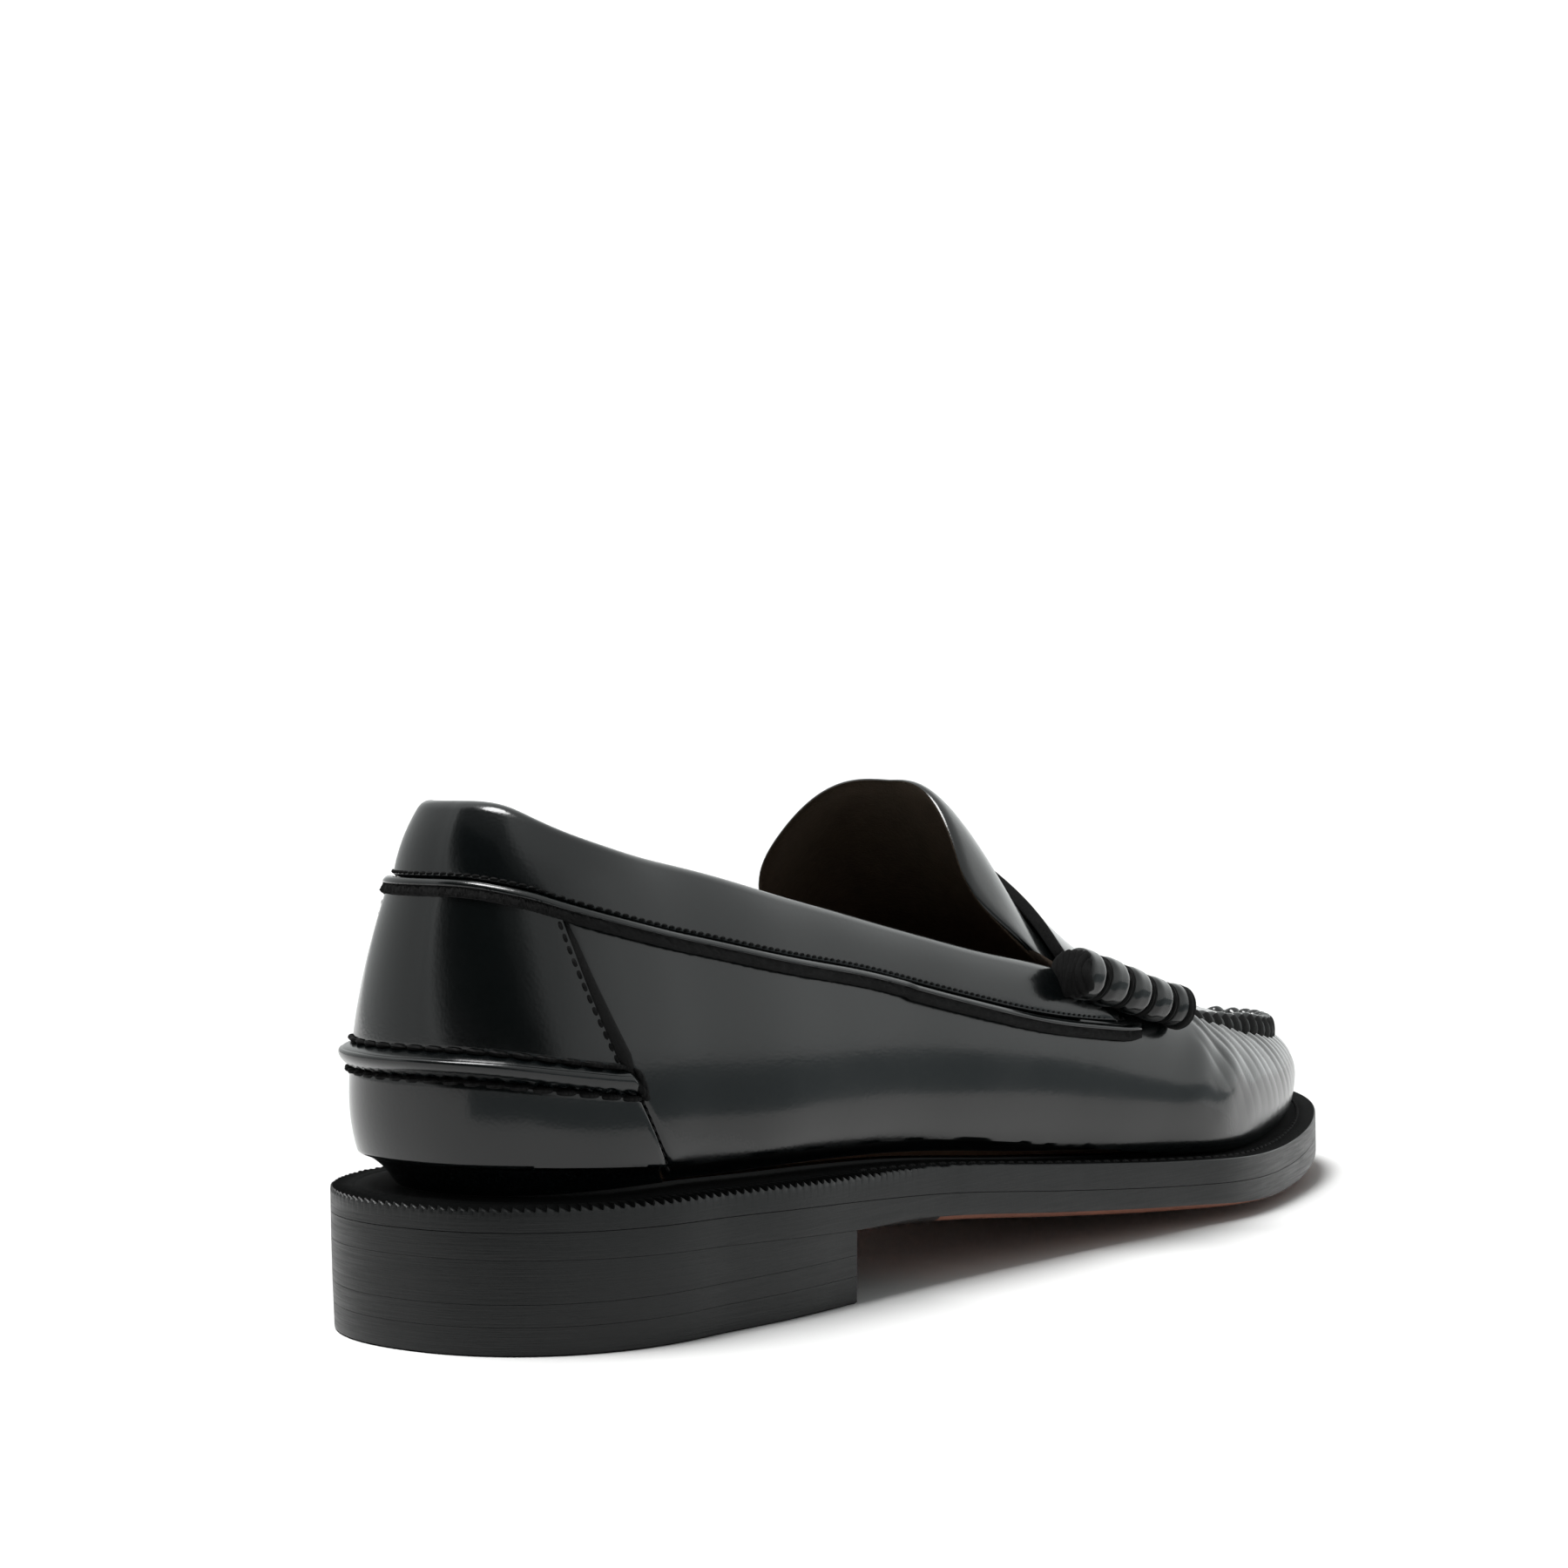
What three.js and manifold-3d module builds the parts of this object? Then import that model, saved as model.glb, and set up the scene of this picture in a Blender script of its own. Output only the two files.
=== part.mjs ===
// A right-foot penny loafer with a welted leather sole and a stacked heel.
// Millimetres. +X points to the toe, +Y to the inner side of the foot, +Z up.
// Every layer is worked out from the outsole's outline: a place on the shoe is a lap g
// around that outline, a height, and a depth inwards from the upper's outer face.
import * as THREE from 'three';
import { mergeVertices } from 'three/addons/utils/BufferGeometryUtils.js';
import Module from 'manifold-3d';

const wasm = await Module();
wasm.setup();

// Driving dimensions
const LENGTH = 302; // outsole, from the back of the heel to the toe
const HEEL_DEPTH = 40.5; // length of the rounded back end
const HEEL_ROUNDNESS = 2.2; // exponent of its superellipse
const TOE_START = 195; // the toe is half an ellipse from here forwards
const TOE_SWING = 7.5; // how far the toe's centre line lies towards the inner side
const HEEL_BREAST = 78; // front face of the heel
const HEEL_TAPER = 0.3; // the heel narrows this much towards the floor
const TOP_PIECE = 5; // thickness of the rubber top piece
const LIFT = 3.6; // thickness of one leather heel lift
const GAP = 0.35; // clearance between pieces that lie against each other
const WELT_WIDTH = 13;
const FOOT_INSET = 8.5; // the upper meets the welt this far inside the sole's edge
const LEATHER = 1.8; // thickness of the upper leather
const STIFFENER = 0.9; // thickness of the counter stiffener and of the toe puff
const LINING = 0.9;
const COLLAR_FRONT = 150; // where the padded collar ends, in front of the ankle
const PIPING_FRONT = 175; // the piping runs on under the beefroll
const SIDE_SEAM = 25; // where the heel panels meet the side walls
const SEAM_START = 198; // where the hand-sewn seam of the plug begins
const ROLL_BACK = 150; // ends of the beefrolls
const ROLL_FRONT = 190;
const ROLL_RADIUS = 4.1;
const WRAPS_PER_ROLL = 4;
const THREAD_RADIUS = 0.6;

const black = { color: 0x171a19, roughness: 0.28, metalness: 0 };
const blackRough = { color: 0x121312, roughness: 0.7, metalness: 0 };
const edgeBlack = { color: 0x151615, roughness: 0.5, metalness: 0 };
const thread = { color: 0x0c0c0b, roughness: 0.8, metalness: 0 };
const tan = { color: 0xa5794f, roughness: 0.8, metalness: 0 };
const soleLeather = { color: 0x8a5a3c, roughness: 0.7, metalness: 0 };
const cork = { color: 0x9b7248, roughness: 0.95, metalness: 0 };
const board = { color: 0xb9a78c, roughness: 0.9, metalness: 0 };
const rubber = { color: 0x141414, roughness: 0.85, metalness: 0 };
const steel = { color: 0x8d9094, roughness: 0.4, metalness: 1 };

const shoe = new THREE.Group();

function add(name, geometry, look) {
  const mesh = new THREE.Mesh(geometry, new THREE.MeshStandardMaterial(look));
  mesh.name = name;
  shoe.add(mesh);
}

// A smooth curve through [x, value] knots, level beyond both ends.
function through(...knots) {
  const last = knots.length - 1;
  const slopes = knots.map((knot, i) => {
    const before = knots[Math.max(i - 1, 0)];
    const after = knots[Math.min(i + 1, last)];
    return (after[1] - before[1]) / (after[0] - before[0]);
  });
  return (x) => {
    if (x <= knots[0][0]) return knots[0][1];
    if (x >= knots[last][0]) return knots[last][1];
    const i = knots.findIndex((knot) => knot[0] > x) - 1;
    const span = knots[i + 1][0] - knots[i][0];
    const s = (x - knots[i][0]) / span;
    const rise = s * s * (3 - 2 * s);
    const lean = slopes[i] * s * (1 - s) ** 2 - slopes[i + 1] * s * s * (1 - s);
    return knots[i][1] * (1 - rise) + knots[i + 1][1] * rise + lean * span;
  };
}

// ---- The sole in plan and in side view ----

const outerWidth = through([40, 37.4], [60, 39.7], [80, 39.9], [110, 40.7], [145, 44.4], [180, 50.8],
  [205, 55.2], [240, 55], [270, 54]);
const innerWidth = through([40, 37.4], [60, 37.6], [85, 36], [115, 33.5], [145, 36], [180, 46], [205, 52.5],
  [240, 54], [270, 54]);
const soleBottom = through([0, 16.6], [40, 15.4], [80, 13.3], [110, 11.2], [145, 7.5], [180, 4.4], [210, 2.7],
  [230, 2.5], [250, 3.4], [275, 5.4], [302, 7.6]);
const soleCrown = through([80, 0], [145, 1.3], [210, 2.4], [260, 1.8], [302, 1]);
const outsoleThickness = through([0, 4.6], [80, 5.2], [302, 4.6]);
const soleThickness = through([0, 8.9], [80, 10.2], [140, 10.4], [210, 9.8], [302, 8.5]);
const soleTop = (x) => soleBottom(x) + soleThickness(x);
const weltBottom = (x) => soleBottom(x) + outsoleThickness(x) + GAP;

function centreLine(x) {
  return TOE_SWING * THREE.MathUtils.smoothstep(x, 110, 250);
}

function halfWidth(x, side) {
  const width = side < 0 ? outerWidth(x) : innerWidth(x);
  const back = Math.max(0, 1 - x / HEEL_DEPTH);
  const front = Math.max(0, (x - TOE_START) / (LENGTH - TOE_START));
  const heel = (1 - back ** HEEL_ROUNDNESS) ** (1 / HEEL_ROUNDNESS);
  return width * heel * Math.sqrt(Math.max(0, 1 - front ** 2));
}

// A lap g runs from the heel (0) along the outer side to the toe (1) and back along the
// inner side to the heel (2). Its station is the x of the sole's edge at that lap.
function lapOf(g) {
  const lap = ((g % 2) + 2) % 2;
  const side = lap <= 1 ? -1 : 1;
  const way = lap <= 1 ? lap : 2 - lap;
  return { side, x: LENGTH * (1 - Math.cos(Math.PI * way)) / 2 };
}

function lapAt(x) {
  return Math.acos(1 - 2 * x / LENGTH) / Math.PI;
}

function edge(g) {
  const { side, x } = lapOf(g);
  return new THREE.Vector2(x, centreLine(x) + side * halfWidth(x, side));
}

function insetEdge(g, inset) {
  const step = 0.004;
  const along = edge(g + step).sub(edge(g - step)).normalize();
  return edge(g).add(new THREE.Vector2(-along.y, along.x).multiplyScalar(inset));
}

// ---- The upper's outer face ----

const topProfile = through([0, 94.7], [6, 91.9], [14, 89.1], [24, 86.5], [40, 82.8], [63, 77.1], [102, 67.8],
  [126, 61.9], [150, 57], [165, 52.8], [180, 48], [209, 42], [235, 37], [262, 33.2], [302, 31.5]);
const outerTopInset = through([0, 17], [14, 15], [30, 14], [60, 11.5], [118, 8.5], [150, 8.5],
  [180, 10.5], [209, 13], [235, 12.5], [262, 10.5], [302, 12]);
const innerTopInset = through([0, 17], [14, 18.5], [30, 16], [60, 8], [90, 2.5], [118, 0], [147, 1],
  [180, 8], [209, 12.5], [235, 12.5], [262, 10.5], [302, 12]);
const lowInset = through([0, 0], [60, -0.5], [120, 0], [180, 1], [230, 2], [302, 2]);
const outerHighInset = through([0, 5], [14, 4.5], [60, 4], [118, 2], [150, 2.5], [180, 3], [230, 4],
  [302, 4]);
const innerHighInset = through([0, 5], [14, 7], [30, 6.5], [60, 3], [90, -1], [118, -4], [150, -3],
  [180, 2], [230, 4], [302, 4]);
const lowRise = through([0, 0.21], [150, 0.23], [230, 0.25]);
const highRise = through([0, 0.64], [150, 0.7], [230, 0.82]);

// The lines along the upper stay level for longer on the inner side of the heel.
function reach(g) {
  const { side, x } = lapOf(g);
  const delay = side < 0 ? 0 : 11 * (1 - THREE.MathUtils.smoothstep(x, 60, 180));
  return Math.max(0, x - delay);
}

const topHeight = (g) => topProfile(reach(g));

// The wall's section at a lap is a cubic curve from the welt (t = 0) to the top line (1).
function wallSection(g) {
  const { side, x } = lapOf(g);
  const foot = soleTop(x) + GAP;
  const rise = topHeight(g) - foot;
  const topInset = side < 0 ? outerTopInset(x) : innerTopInset(x);
  const highInset = side < 0 ? outerHighInset(x) : innerHighInset(x);
  return new THREE.CubicBezierCurve(
    new THREE.Vector2(FOOT_INSET, foot),
    new THREE.Vector2(lowInset(x), foot + lowRise(x) * rise),
    new THREE.Vector2(highInset, foot + highRise(x) * rise),
    new THREE.Vector2(topInset, topHeight(g)),
  );
}

function wallFace(g, t) {
  const [inset, height] = wallSection(g).getPoint(t).toArray();
  const spot = insetEdge(g, inset);
  return new THREE.Vector3(spot.x, spot.y, height);
}

// A point at a depth inside the outer face; negative depths stand proud of it.
function wallPoint(g, t, depth) {
  const step = 0.01;
  const along = wallFace(g + step, t).sub(wallFace(g - step, t));
  const up = wallFace(g, t + step).sub(wallFace(g, t - step));
  const outwards = along.cross(up).normalize();
  return wallFace(g, t).addScaledVector(outwards, -depth);
}

// The t at which the wall's section reaches a height.
function riseTo(g, height) {
  const section = wallSection(g);
  let low = 0;
  let high = 1;
  for (let i = 0; i < 24; i++) {
    const middle = (low + high) / 2;
    if (section.getPoint(middle).y < height) low = middle;
    else high = middle;
  }
  return (low + high) / 2;
}

const pipingProfile = through([0, 80.6], [6, 78.2], [12, 76.6], [20, 74.9], [40, 70.1], [63, 64.6],
  [90, 59.5], [116, 53.2], [143, 47.2], [171, 43]);
const heelRollProfile = through([0, 48.8], [11, 46.8], [25, 44.6]);
const pipingHeight = (g) => pipingProfile(reach(g));
const heelRollHeight = (g) => heelRollProfile(reach(g));
const pipingWidth = 3.4;

const seam = lapAt(SIDE_SEAM);
const collarEnd = lapAt(COLLAR_FRONT);

// ---- The instep: plug, tongue and strap ----

const instepHeight = through([140, 96], [148, 94.6], [153, 90.5], [160, 81.8], [170, 71], [184, 59.5],
  [197, 53], [211, 48], [225, 44.5], [240, 42.2], [257, 40.4], [277, 37.4], [302, 33]);
const plugMargin = through([145, 3], [198, 3.5], [212, 1.7], [302, 1.7]);
// How the arch falls away, as an exponent of the distance from its middle, on each side.
const outerFall = through([146, 2.3], [160, 1.4], [182, 1.4], [204, 2.2]);
const innerFall = through([150, 2.75], [195, 2.2]);

// A point of the instep's top face: station x, and q from -1 (outer edge) to 1 (inner).
function instepFace(x, q) {
  const g = lapAt(x);
  const outer = insetEdge(g, outerTopInset(x) + plugMargin(x));
  const inner = insetEdge(2 - g, innerTopInset(x) + plugMargin(x));
  const spot = outer.lerp(inner, (q + 1) / 2);
  const side = q < 0 ? topHeight(g) : topHeight(2 - g);
  const power = q < 0 ? outerFall(x) : innerFall(x);
  const height = THREE.MathUtils.lerp(instepHeight(x), side, Math.abs(q) ** power);
  return new THREE.Vector3(spot.x, spot.y, height);
}

// Where the tongue stops: highest in the middle, coming forward again at both sides.
function tongueEnd(q) {
  const away = Math.abs(q);
  return 147.4 - 16 * away ** 1.5 + 24.5 * THREE.MathUtils.clamp((away - 0.7) / 0.3, 0, 1) ** 3.2;
}

function instepPoint(x, q, lift) {
  const forwards = instepFace(x + 1, q).sub(instepFace(x - 1, q));
  const step = 0.02;
  const sideways = instepFace(x, q + step).sub(instepFace(x, q - step));
  return instepFace(x, q).addScaledVector(forwards.cross(sideways).normalize(), lift);
}

// ---- Ways to make a closed solid ----

function facingOut(geometry) {
  const { array } = geometry.attributes.position;
  const corner = (i) => new THREE.Vector3().fromArray(array, geometry.index.array[i] * 3);
  let volume = 0;
  for (let i = 0; i < geometry.index.count; i += 3) {
    volume += corner(i).dot(corner(i + 1).cross(corner(i + 2)));
  }
  if (volume < 0) geometry.index.array.reverse();
  return geometry;
}

// A box of nu by nv by 1 cells bent by place(a, b, c), each of which runs from 0 to 1.
function bentBox(nu, nv, place) {
  const geometry = new THREE.BoxGeometry(1, 1, 1, nu, nv, 1);
  geometry.deleteAttribute('normal');
  geometry.deleteAttribute('uv');
  const { position } = geometry.attributes;
  for (let i = 0; i < position.count; i++) {
    const spot = place(position.getX(i) + 0.5, position.getY(i) + 0.5, position.getZ(i) + 0.5);
    position.setXYZ(i, spot.x, spot.y, spot.z);
  }
  return facingOut(mergeVertices(geometry, 1e-4));
}

// The side seam slants: near it, every lap is moved by this much at a height t.
function slant(g, t) {
  const away = g > 1 ? g - 2 : g;
  const nearness = Math.abs(away) < seam ? Math.abs(away) / seam : Math.max(0,
    1 - (Math.abs(away) - seam) / 0.15);
  return Math.sign(away) * nearness * (0.045 - 0.13 * t);
}

// A sheet of the upper along some laps, between two heights that depend on the lap.
function sheet(laps, rows, low, high, outerDepth, innerDepth) {
  const cells = laps.length - 1;
  return bentBox(cells, rows, (a, b, c) => {
    const g = laps[Math.round(a * cells)];
    const t = THREE.MathUtils.lerp(low(g), high(g), b);
    return wallPoint(g + slant(g, t), t, THREE.MathUtils.lerp(innerDepth, outerDepth, c));
  });
}

// Laps at even steps, with the breaks given exactly.
function steps(...parts) {
  const laps = [parts[0]];
  for (let i = 1; i < parts.length; i += 2) {
    const from = laps[laps.length - 1];
    for (let k = 1; k <= parts[i]; k++) laps.push(THREE.MathUtils.lerp(from, parts[i + 1], k / parts[i]));
  }
  return laps;
}

// A flat layer of the sole between two stations, cut to the outline less an inset.
function layer(xFrom, xTo, cells, inset, bottom, top) {
  return bentBox(cells[0], cells[1], (a, b, c) => {
    const g = THREE.MathUtils.lerp(lapAt(xFrom), lapAt(xTo), a);
    const outer = insetEdge(g, inset);
    const inner = insetEdge(2 - g, inset);
    const spot = outer.lerp(inner, b);
    const { x } = lapOf(g);
    const height = c < 0.5 ? bottom(x, 2 * b - 1) : top(x, 2 * b - 1);
    return new THREE.Vector3(spot.x, spot.y, height);
  });
}

function roundSection(radius, sides, squash = 1) {
  const section = new THREE.Shape();
  for (let i = 0; i < sides; i++) {
    const turn = 2 * Math.PI * i / sides;
    const corner = [radius * squash * Math.cos(turn), radius * Math.sin(turn)];
    if (i === 0) section.moveTo(...corner);
    else section.lineTo(...corner);
  }
  return section;
}

function tube(points, radius, steps, sides) {
  const path = new THREE.CatmullRomCurve3(points);
  const geometry = new THREE.ExtrudeGeometry(roundSection(radius, sides), { extrudePath: path, steps });
  geometry.deleteAttribute('normal');
  geometry.deleteAttribute('uv');
  return facingOut(mergeVertices(geometry, 1e-4));
}

function toSolid(geometry) {
  const bare = geometry.clone();
  bare.deleteAttribute('normal');
  bare.deleteAttribute('uv');
  const merged = mergeVertices(bare, 1e-4);
  const mesh = new wasm.Mesh({
    numProp: 3,
    vertProperties: new Float32Array(merged.attributes.position.array),
    triVerts: new Uint32Array(merged.index.array),
  });
  return new wasm.Manifold(mesh);
}

function fromSolid(solid) {
  const mesh = solid.getMesh();
  const geometry = new THREE.BufferGeometry();
  geometry.setAttribute('position', new THREE.BufferAttribute(mesh.vertProperties, 3));
  geometry.setIndex(new THREE.BufferAttribute(mesh.triVerts, 1));
  return geometry;
}

function cutFrom(geometry, tools) {
  return fromSolid(tools.reduce((solid, tool) => solid.subtract(toSolid(tool)), toSolid(geometry)));
}

// ---- Sole and heel ----

function addSole() {
  const bottom = (x, q) => soleBottom(x) - soleCrown(x) * (1 - q * q);
  const outsoleTop = (x) => soleBottom(x) + outsoleThickness(x);
  add('outsole', layer(0.15, LENGTH - 0.3, [30, 4], 0, bottom, outsoleTop), soleLeather);
  const laps = 60;
  add('welt', ringLayer(laps, 0, WELT_WIDTH, weltBottom, soleTop), edgeBlack);
  const corkTop = (x) => soleTop(x) - GAP;
  const filler = layer(0.4, LENGTH - 0.8, [24, 4], WELT_WIDTH + 2 * GAP, weltBottom, corkTop);
  add('cork_filler', cutFrom(filler, [shankStrip(GAP)]), cork);
  add('shank', shankStrip(0), steel);
  const insoleInset = FOOT_INSET + LEATHER + STIFFENER + LINING + 5 * GAP;
  const insoleBottom = (x) => soleTop(x) + GAP;
  const insoleTop = (x) => soleTop(x) + GAP + 2.6;
  add('insole', layer(0.4, LENGTH - 0.8, [24, 4], insoleInset, insoleBottom, insoleTop), board);
  const padBottom = (x) => insoleTop(x) + GAP;
  const padTop = (x) => insoleTop(x) + GAP + 1.2;
  add('heel_sock', layer(0.6, 92, [12, 4], insoleInset + 1.5, padBottom, padTop), tan);
}

// A ring that follows the outline, with a four-sided section.
function ringLayer(laps, outerInset, innerInset, bottom, top) {
  const geometry = new THREE.PlaneGeometry(1, 1, laps, 4);
  geometry.deleteAttribute('normal');
  geometry.deleteAttribute('uv');
  const { position } = geometry.attributes;
  for (let i = 0; i < position.count; i++) {
    const g = Math.round((position.getX(i) + 0.5) * laps) % laps * 2 / laps;
    const corner = Math.round((position.getY(i) + 0.5) * 4) % 4;
    const { x } = lapOf(g);
    const spot = insetEdge(g, corner === 0 || corner === 3 ? outerInset : innerInset);
    position.setXYZ(i, spot.x, spot.y, corner < 2 ? bottom(x) : top(x));
  }
  return facingOut(mergeVertices(geometry, 1e-4));
}

// The steel shank: a curved strip under the arch, from the heel seat to the ball.
function shankStrip(grow) {
  return bentBox(10, 1, (a, b, c) => {
    const x = THREE.MathUtils.lerp(52 - grow, 158 + grow, a);
    const halfBand = 6 + grow;
    const y = 1.5 + THREE.MathUtils.lerp(-halfBand, halfBand, b);
    const under = soleTop(x) - 2 * GAP - 1.3 - grow;
    return new THREE.Vector3(x, y, c < 0.5 ? under : soleTop(x) - 2 * GAP + 3 * grow);
  });
}

const NAILS = [[12, 0], [30, -22], [30, 22], [62, -26], [62, 24]];

function turned(profile, x, y) {
  const geometry = new THREE.LatheGeometry(profile.map(([r, z]) => new THREE.Vector2(r, z)), 8);
  geometry.rotateX(Math.PI / 2);
  geometry.translate(x, y, 0);
  geometry.deleteAttribute('normal');
  geometry.deleteAttribute('uv');
  return facingOut(mergeVertices(geometry, 1e-4));
}

// A flat-headed nail, driven upwards with its head sunk into the top piece.
const nail = (x, y) => turned([[0, 1.2], [2, 1.2], [2, 2], [0.8, 2.4], [0.8, 12], [0, 12.8]], x, y);
const nailHole = (x, y) => turned([[0, -1], [2.4, -1], [2.4, 2.4], [1.2, 2.8], [1.2, 13.3], [0, 13.3]], x, y);

function addHeel() {
  const holes = NAILS.map(([x, y]) => nailHole(x, y));
  const heelLayer = (bottom, top) => {
    const taper = HEEL_TAPER * (1 - bottom / 12);
    const roof = typeof top === 'function' ? top : () => top;
    return cutFrom(layer(0.15, HEEL_BREAST, [14, 2], taper, () => bottom, roof), holes);
  };
  add('top_piece', heelLayer(0, TOP_PIECE), rubber);
  const lowLift = TOP_PIECE + GAP;
  add('heel_lift_lower', heelLayer(lowLift, lowLift + LIFT), blackRough);
  const highLift = lowLift + LIFT + GAP;
  add('heel_lift_upper', heelLayer(highLift, (x) => soleBottom(x) - GAP), blackRough);
  NAILS.forEach(([x, y], i) => add(`heel_nail_${i + 1}`, nail(x, y), steel));
}

// ---- Upper ----

const stationOf = (g) => lapOf(g).x;
const underPiping = (g) => riseTo(g, pipingHeight(g) - 0.6);
const overPiping = (g) => riseTo(g, pipingHeight(g) + 0.3);

function addWalls() {
  const wallTop = (g) => (stationOf(g) > COLLAR_FRONT + 2 ? 1 : underPiping(g));
  const joint = 0.004;
  const laps = steps(seam + joint, 12, collarEnd + joint, 26, 2 - collarEnd - joint, 12, 2 - seam - joint);
  add('vamp', sheet(laps, 5, () => 0, wallTop, 0, LEATHER), black);
  const heelLaps = steps(-seam, 14, seam);
  const onHeel = (rows, from, to, outer, inner) => {
    const low = (g) => (from === null ? 0 : riseTo(g, heelRollHeight(g) + from));
    const high = (g) => (to === null ? underPiping(g) : riseTo(g, heelRollHeight(g) + to));
    return sheet(heelLaps, rows, low, high, outer, inner);
  };
  add('heel_foxing', onHeel(2, null, -2.9, -0.5, LEATHER - 0.3), black);
  add('heel_counter', onHeel(3, 3.4, null, -0.5, LEATHER - 0.3), black);
  add('heel_roll_lower', onHeel(1, -2.3, 0.4, -2.9, 1.2), black);
  add('heel_roll_upper', onHeel(1, 0.9, 2.9, -2.4, 1.2), black);
}

function addCollar() {
  const bandLaps = steps(-collarEnd + 0.004, 22, 0, 22, collarEnd - 0.004);
  const bandTop = (g) => (Math.abs(g) > collarEnd - 0.01 ? 0.93 : 1);
  add('collar_band', sheet(bandLaps, 2, overPiping, bandTop, 0, 3.1), black);
  const pipeEnd = lapAt(PIPING_FRONT);
  const pipeFoot = (g) => riseTo(g, pipingHeight(g) - pipingWidth);
  const pipeTop = (g) => riseTo(g, pipingHeight(g));
  add('collar_piping', sheet(steps(-pipeEnd, 24, 0, 24, pipeEnd), 1, pipeFoot, pipeTop, -2.2, -0.95), black);
}

function addLinings() {
  const stiffenerDepth = LEATHER + 1.5 * GAP;
  const liningDepth = stiffenerDepth + STIFFENER + 1.5 * GAP;
  const back = stiffenerDepth + STIFFENER;
  const footStart = () => 0.05;
  const stiffTop = (g) => riseTo(g, pipingHeight(g) - 4);
  const quarterEnd = lapAt(COLLAR_FRONT - 4);
  const stiffEnd = 0.6 * quarterEnd;
  add('counter_stiffener',
    sheet(steps(-stiffEnd, 12, 0, 12, stiffEnd), 5, footStart, stiffTop, stiffenerDepth, back), board);
  const quarterLaps = steps(-quarterEnd, 20, 0, 20, quarterEnd);
  add('quarter_lining',
    sheet(quarterLaps, 5, footStart, () => 0.97, liningDepth, liningDepth + LINING), tan);
  const puffStart = lapAt(246);
  add('toe_puff',
    sheet(steps(puffStart, 14, 2 - puffStart), 3, footStart, () => 0.72, stiffenerDepth, back), board);
  const vampStart = lapAt(COLLAR_FRONT + 4);
  add('vamp_lining',
    sheet(steps(vampStart, 32, 2 - vampStart), 3, footStart, () => 0.74, liningDepth,
      liningDepth + LINING), tan);
}

function addPlug() {
  const thickness = 1.6;
  const plug = bentBox(44, 20, (a, b, c) => {
    const q = 2 * b - 1;
    const start = lapAt(tongueEnd(q));
    const x = stationOf(THREE.MathUtils.lerp(start, lapAt(LENGTH - 1.2), a));
    return instepPoint(x, q, (c - 1) * thickness);
  });
  add('plug_and_tongue', plug, black);

  const strapBack = (q) => 162.5 - 6 * q * q;
  const strapFront = (q) => 205 - 13 * q * q;
  const strap = bentBox(10, 20, (a, b, c) => {
    const q = 2 * b - 1;
    const x = THREE.MathUtils.lerp(strapBack(q), strapFront(q), a);
    return instepPoint(x, q, 1.1 + c * LEATHER);
  });
  const slot = new THREE.Shape();
  slot.moveTo(-4, -15);
  slot.quadraticCurveTo(-1, 0, -4, 15);
  slot.lineTo(0, 12);
  slot.lineTo(4, 15);
  slot.quadraticCurveTo(1, 0, 4, -15);
  slot.lineTo(0, -12);
  const cutter = new THREE.ExtrudeGeometry(slot, { depth: 40, bevelEnabled: false, curveSegments: 5 });
  cutter.translate(190, 3.5, 45);
  add('saddle_strap', cutFrom(strap, [cutter]), black);
}

// A beefroll: the wall's edge rolled over the strap's end and bound with heavy thread.
function addBeefroll(name, sideways) {
  const at = (x) => (sideways < 0 ? lapAt(x) : 2 - lapAt(x));
  const rollCentre = (x) => wallPoint(at(x), riseTo(at(x), topHeight(at(x)) - 3), -ROLL_RADIUS - 0.6);
  const stretch = ROLL_FRONT - ROLL_BACK;
  const wrapAt = (i) => ROLL_BACK + stretch * (i + 1) / (WRAPS_PER_ROLL + 1);
  const bulge = (x) => {
    const phase = (x - ROLL_BACK) / stretch * (WRAPS_PER_ROLL + 1);
    return ROLL_RADIUS - 1.2 * Math.abs(Math.cos(Math.PI * phase)) ** 6;
  };
  const across = (x, turn, radius) => {
    const centre = rollCentre(x);
    const forwards = rollCentre(x + 1).sub(rollCentre(x - 1)).normalize();
    const sideAxis = new THREE.Vector3(0, 0, 1).cross(forwards).normalize();
    const upAxis = forwards.cross(sideAxis);
    return centre.addScaledVector(sideAxis, radius * Math.cos(turn))
      .addScaledVector(upAxis, radius * Math.sin(turn));
  };
  const roll = new THREE.CylinderGeometry(1, 1, 1, 10, 20);
  const wrap = new THREE.TorusGeometry(1, 0.3, 5, 10);
  const bend = (geometry, place) => {
    geometry.deleteAttribute('normal');
    geometry.deleteAttribute('uv');
    const { position } = geometry.attributes;
    for (let i = 0; i < position.count; i++) {
      const spot = place(position.getX(i), position.getY(i), position.getZ(i));
      position.setXYZ(i, spot.x, spot.y, spot.z);
    }
    return facingOut(mergeVertices(geometry, 1e-4));
  };
  add(`beefroll_${name}`, bend(roll, (px, py, pz) => {
    const x = ROLL_BACK + (py + 0.5) * stretch;
    return across(x, Math.atan2(pz, px), Math.hypot(px, pz) * bulge(x));
  }), black);
  for (let i = 0; i < WRAPS_PER_ROLL; i++) {
    add(`beefroll_wrap_${name}_${i + 1}`, bend(wrap.clone(), (px, py, pz) => {
      const away = Math.hypot(px, py);
      const radius = ROLL_RADIUS - 1.2 + GAP + THREAD_RADIUS + (away - 1) / 0.3 * THREAD_RADIUS;
      return across(wrapAt(i) + pz / 0.3 * THREAD_RADIUS, Math.atan2(py, px), radius);
    }), thread);
  }
}

function addThreads() {
  const seamPoints = [];
  const start = lapAt(SEAM_START);
  for (const g of steps(start, 26, 2 - start)) seamPoints.push(wallPoint(g, 1, -1.5));
  add('plug_seam_thread', tube(seamPoints, 0.8, 40, 6), thread);
}

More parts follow.
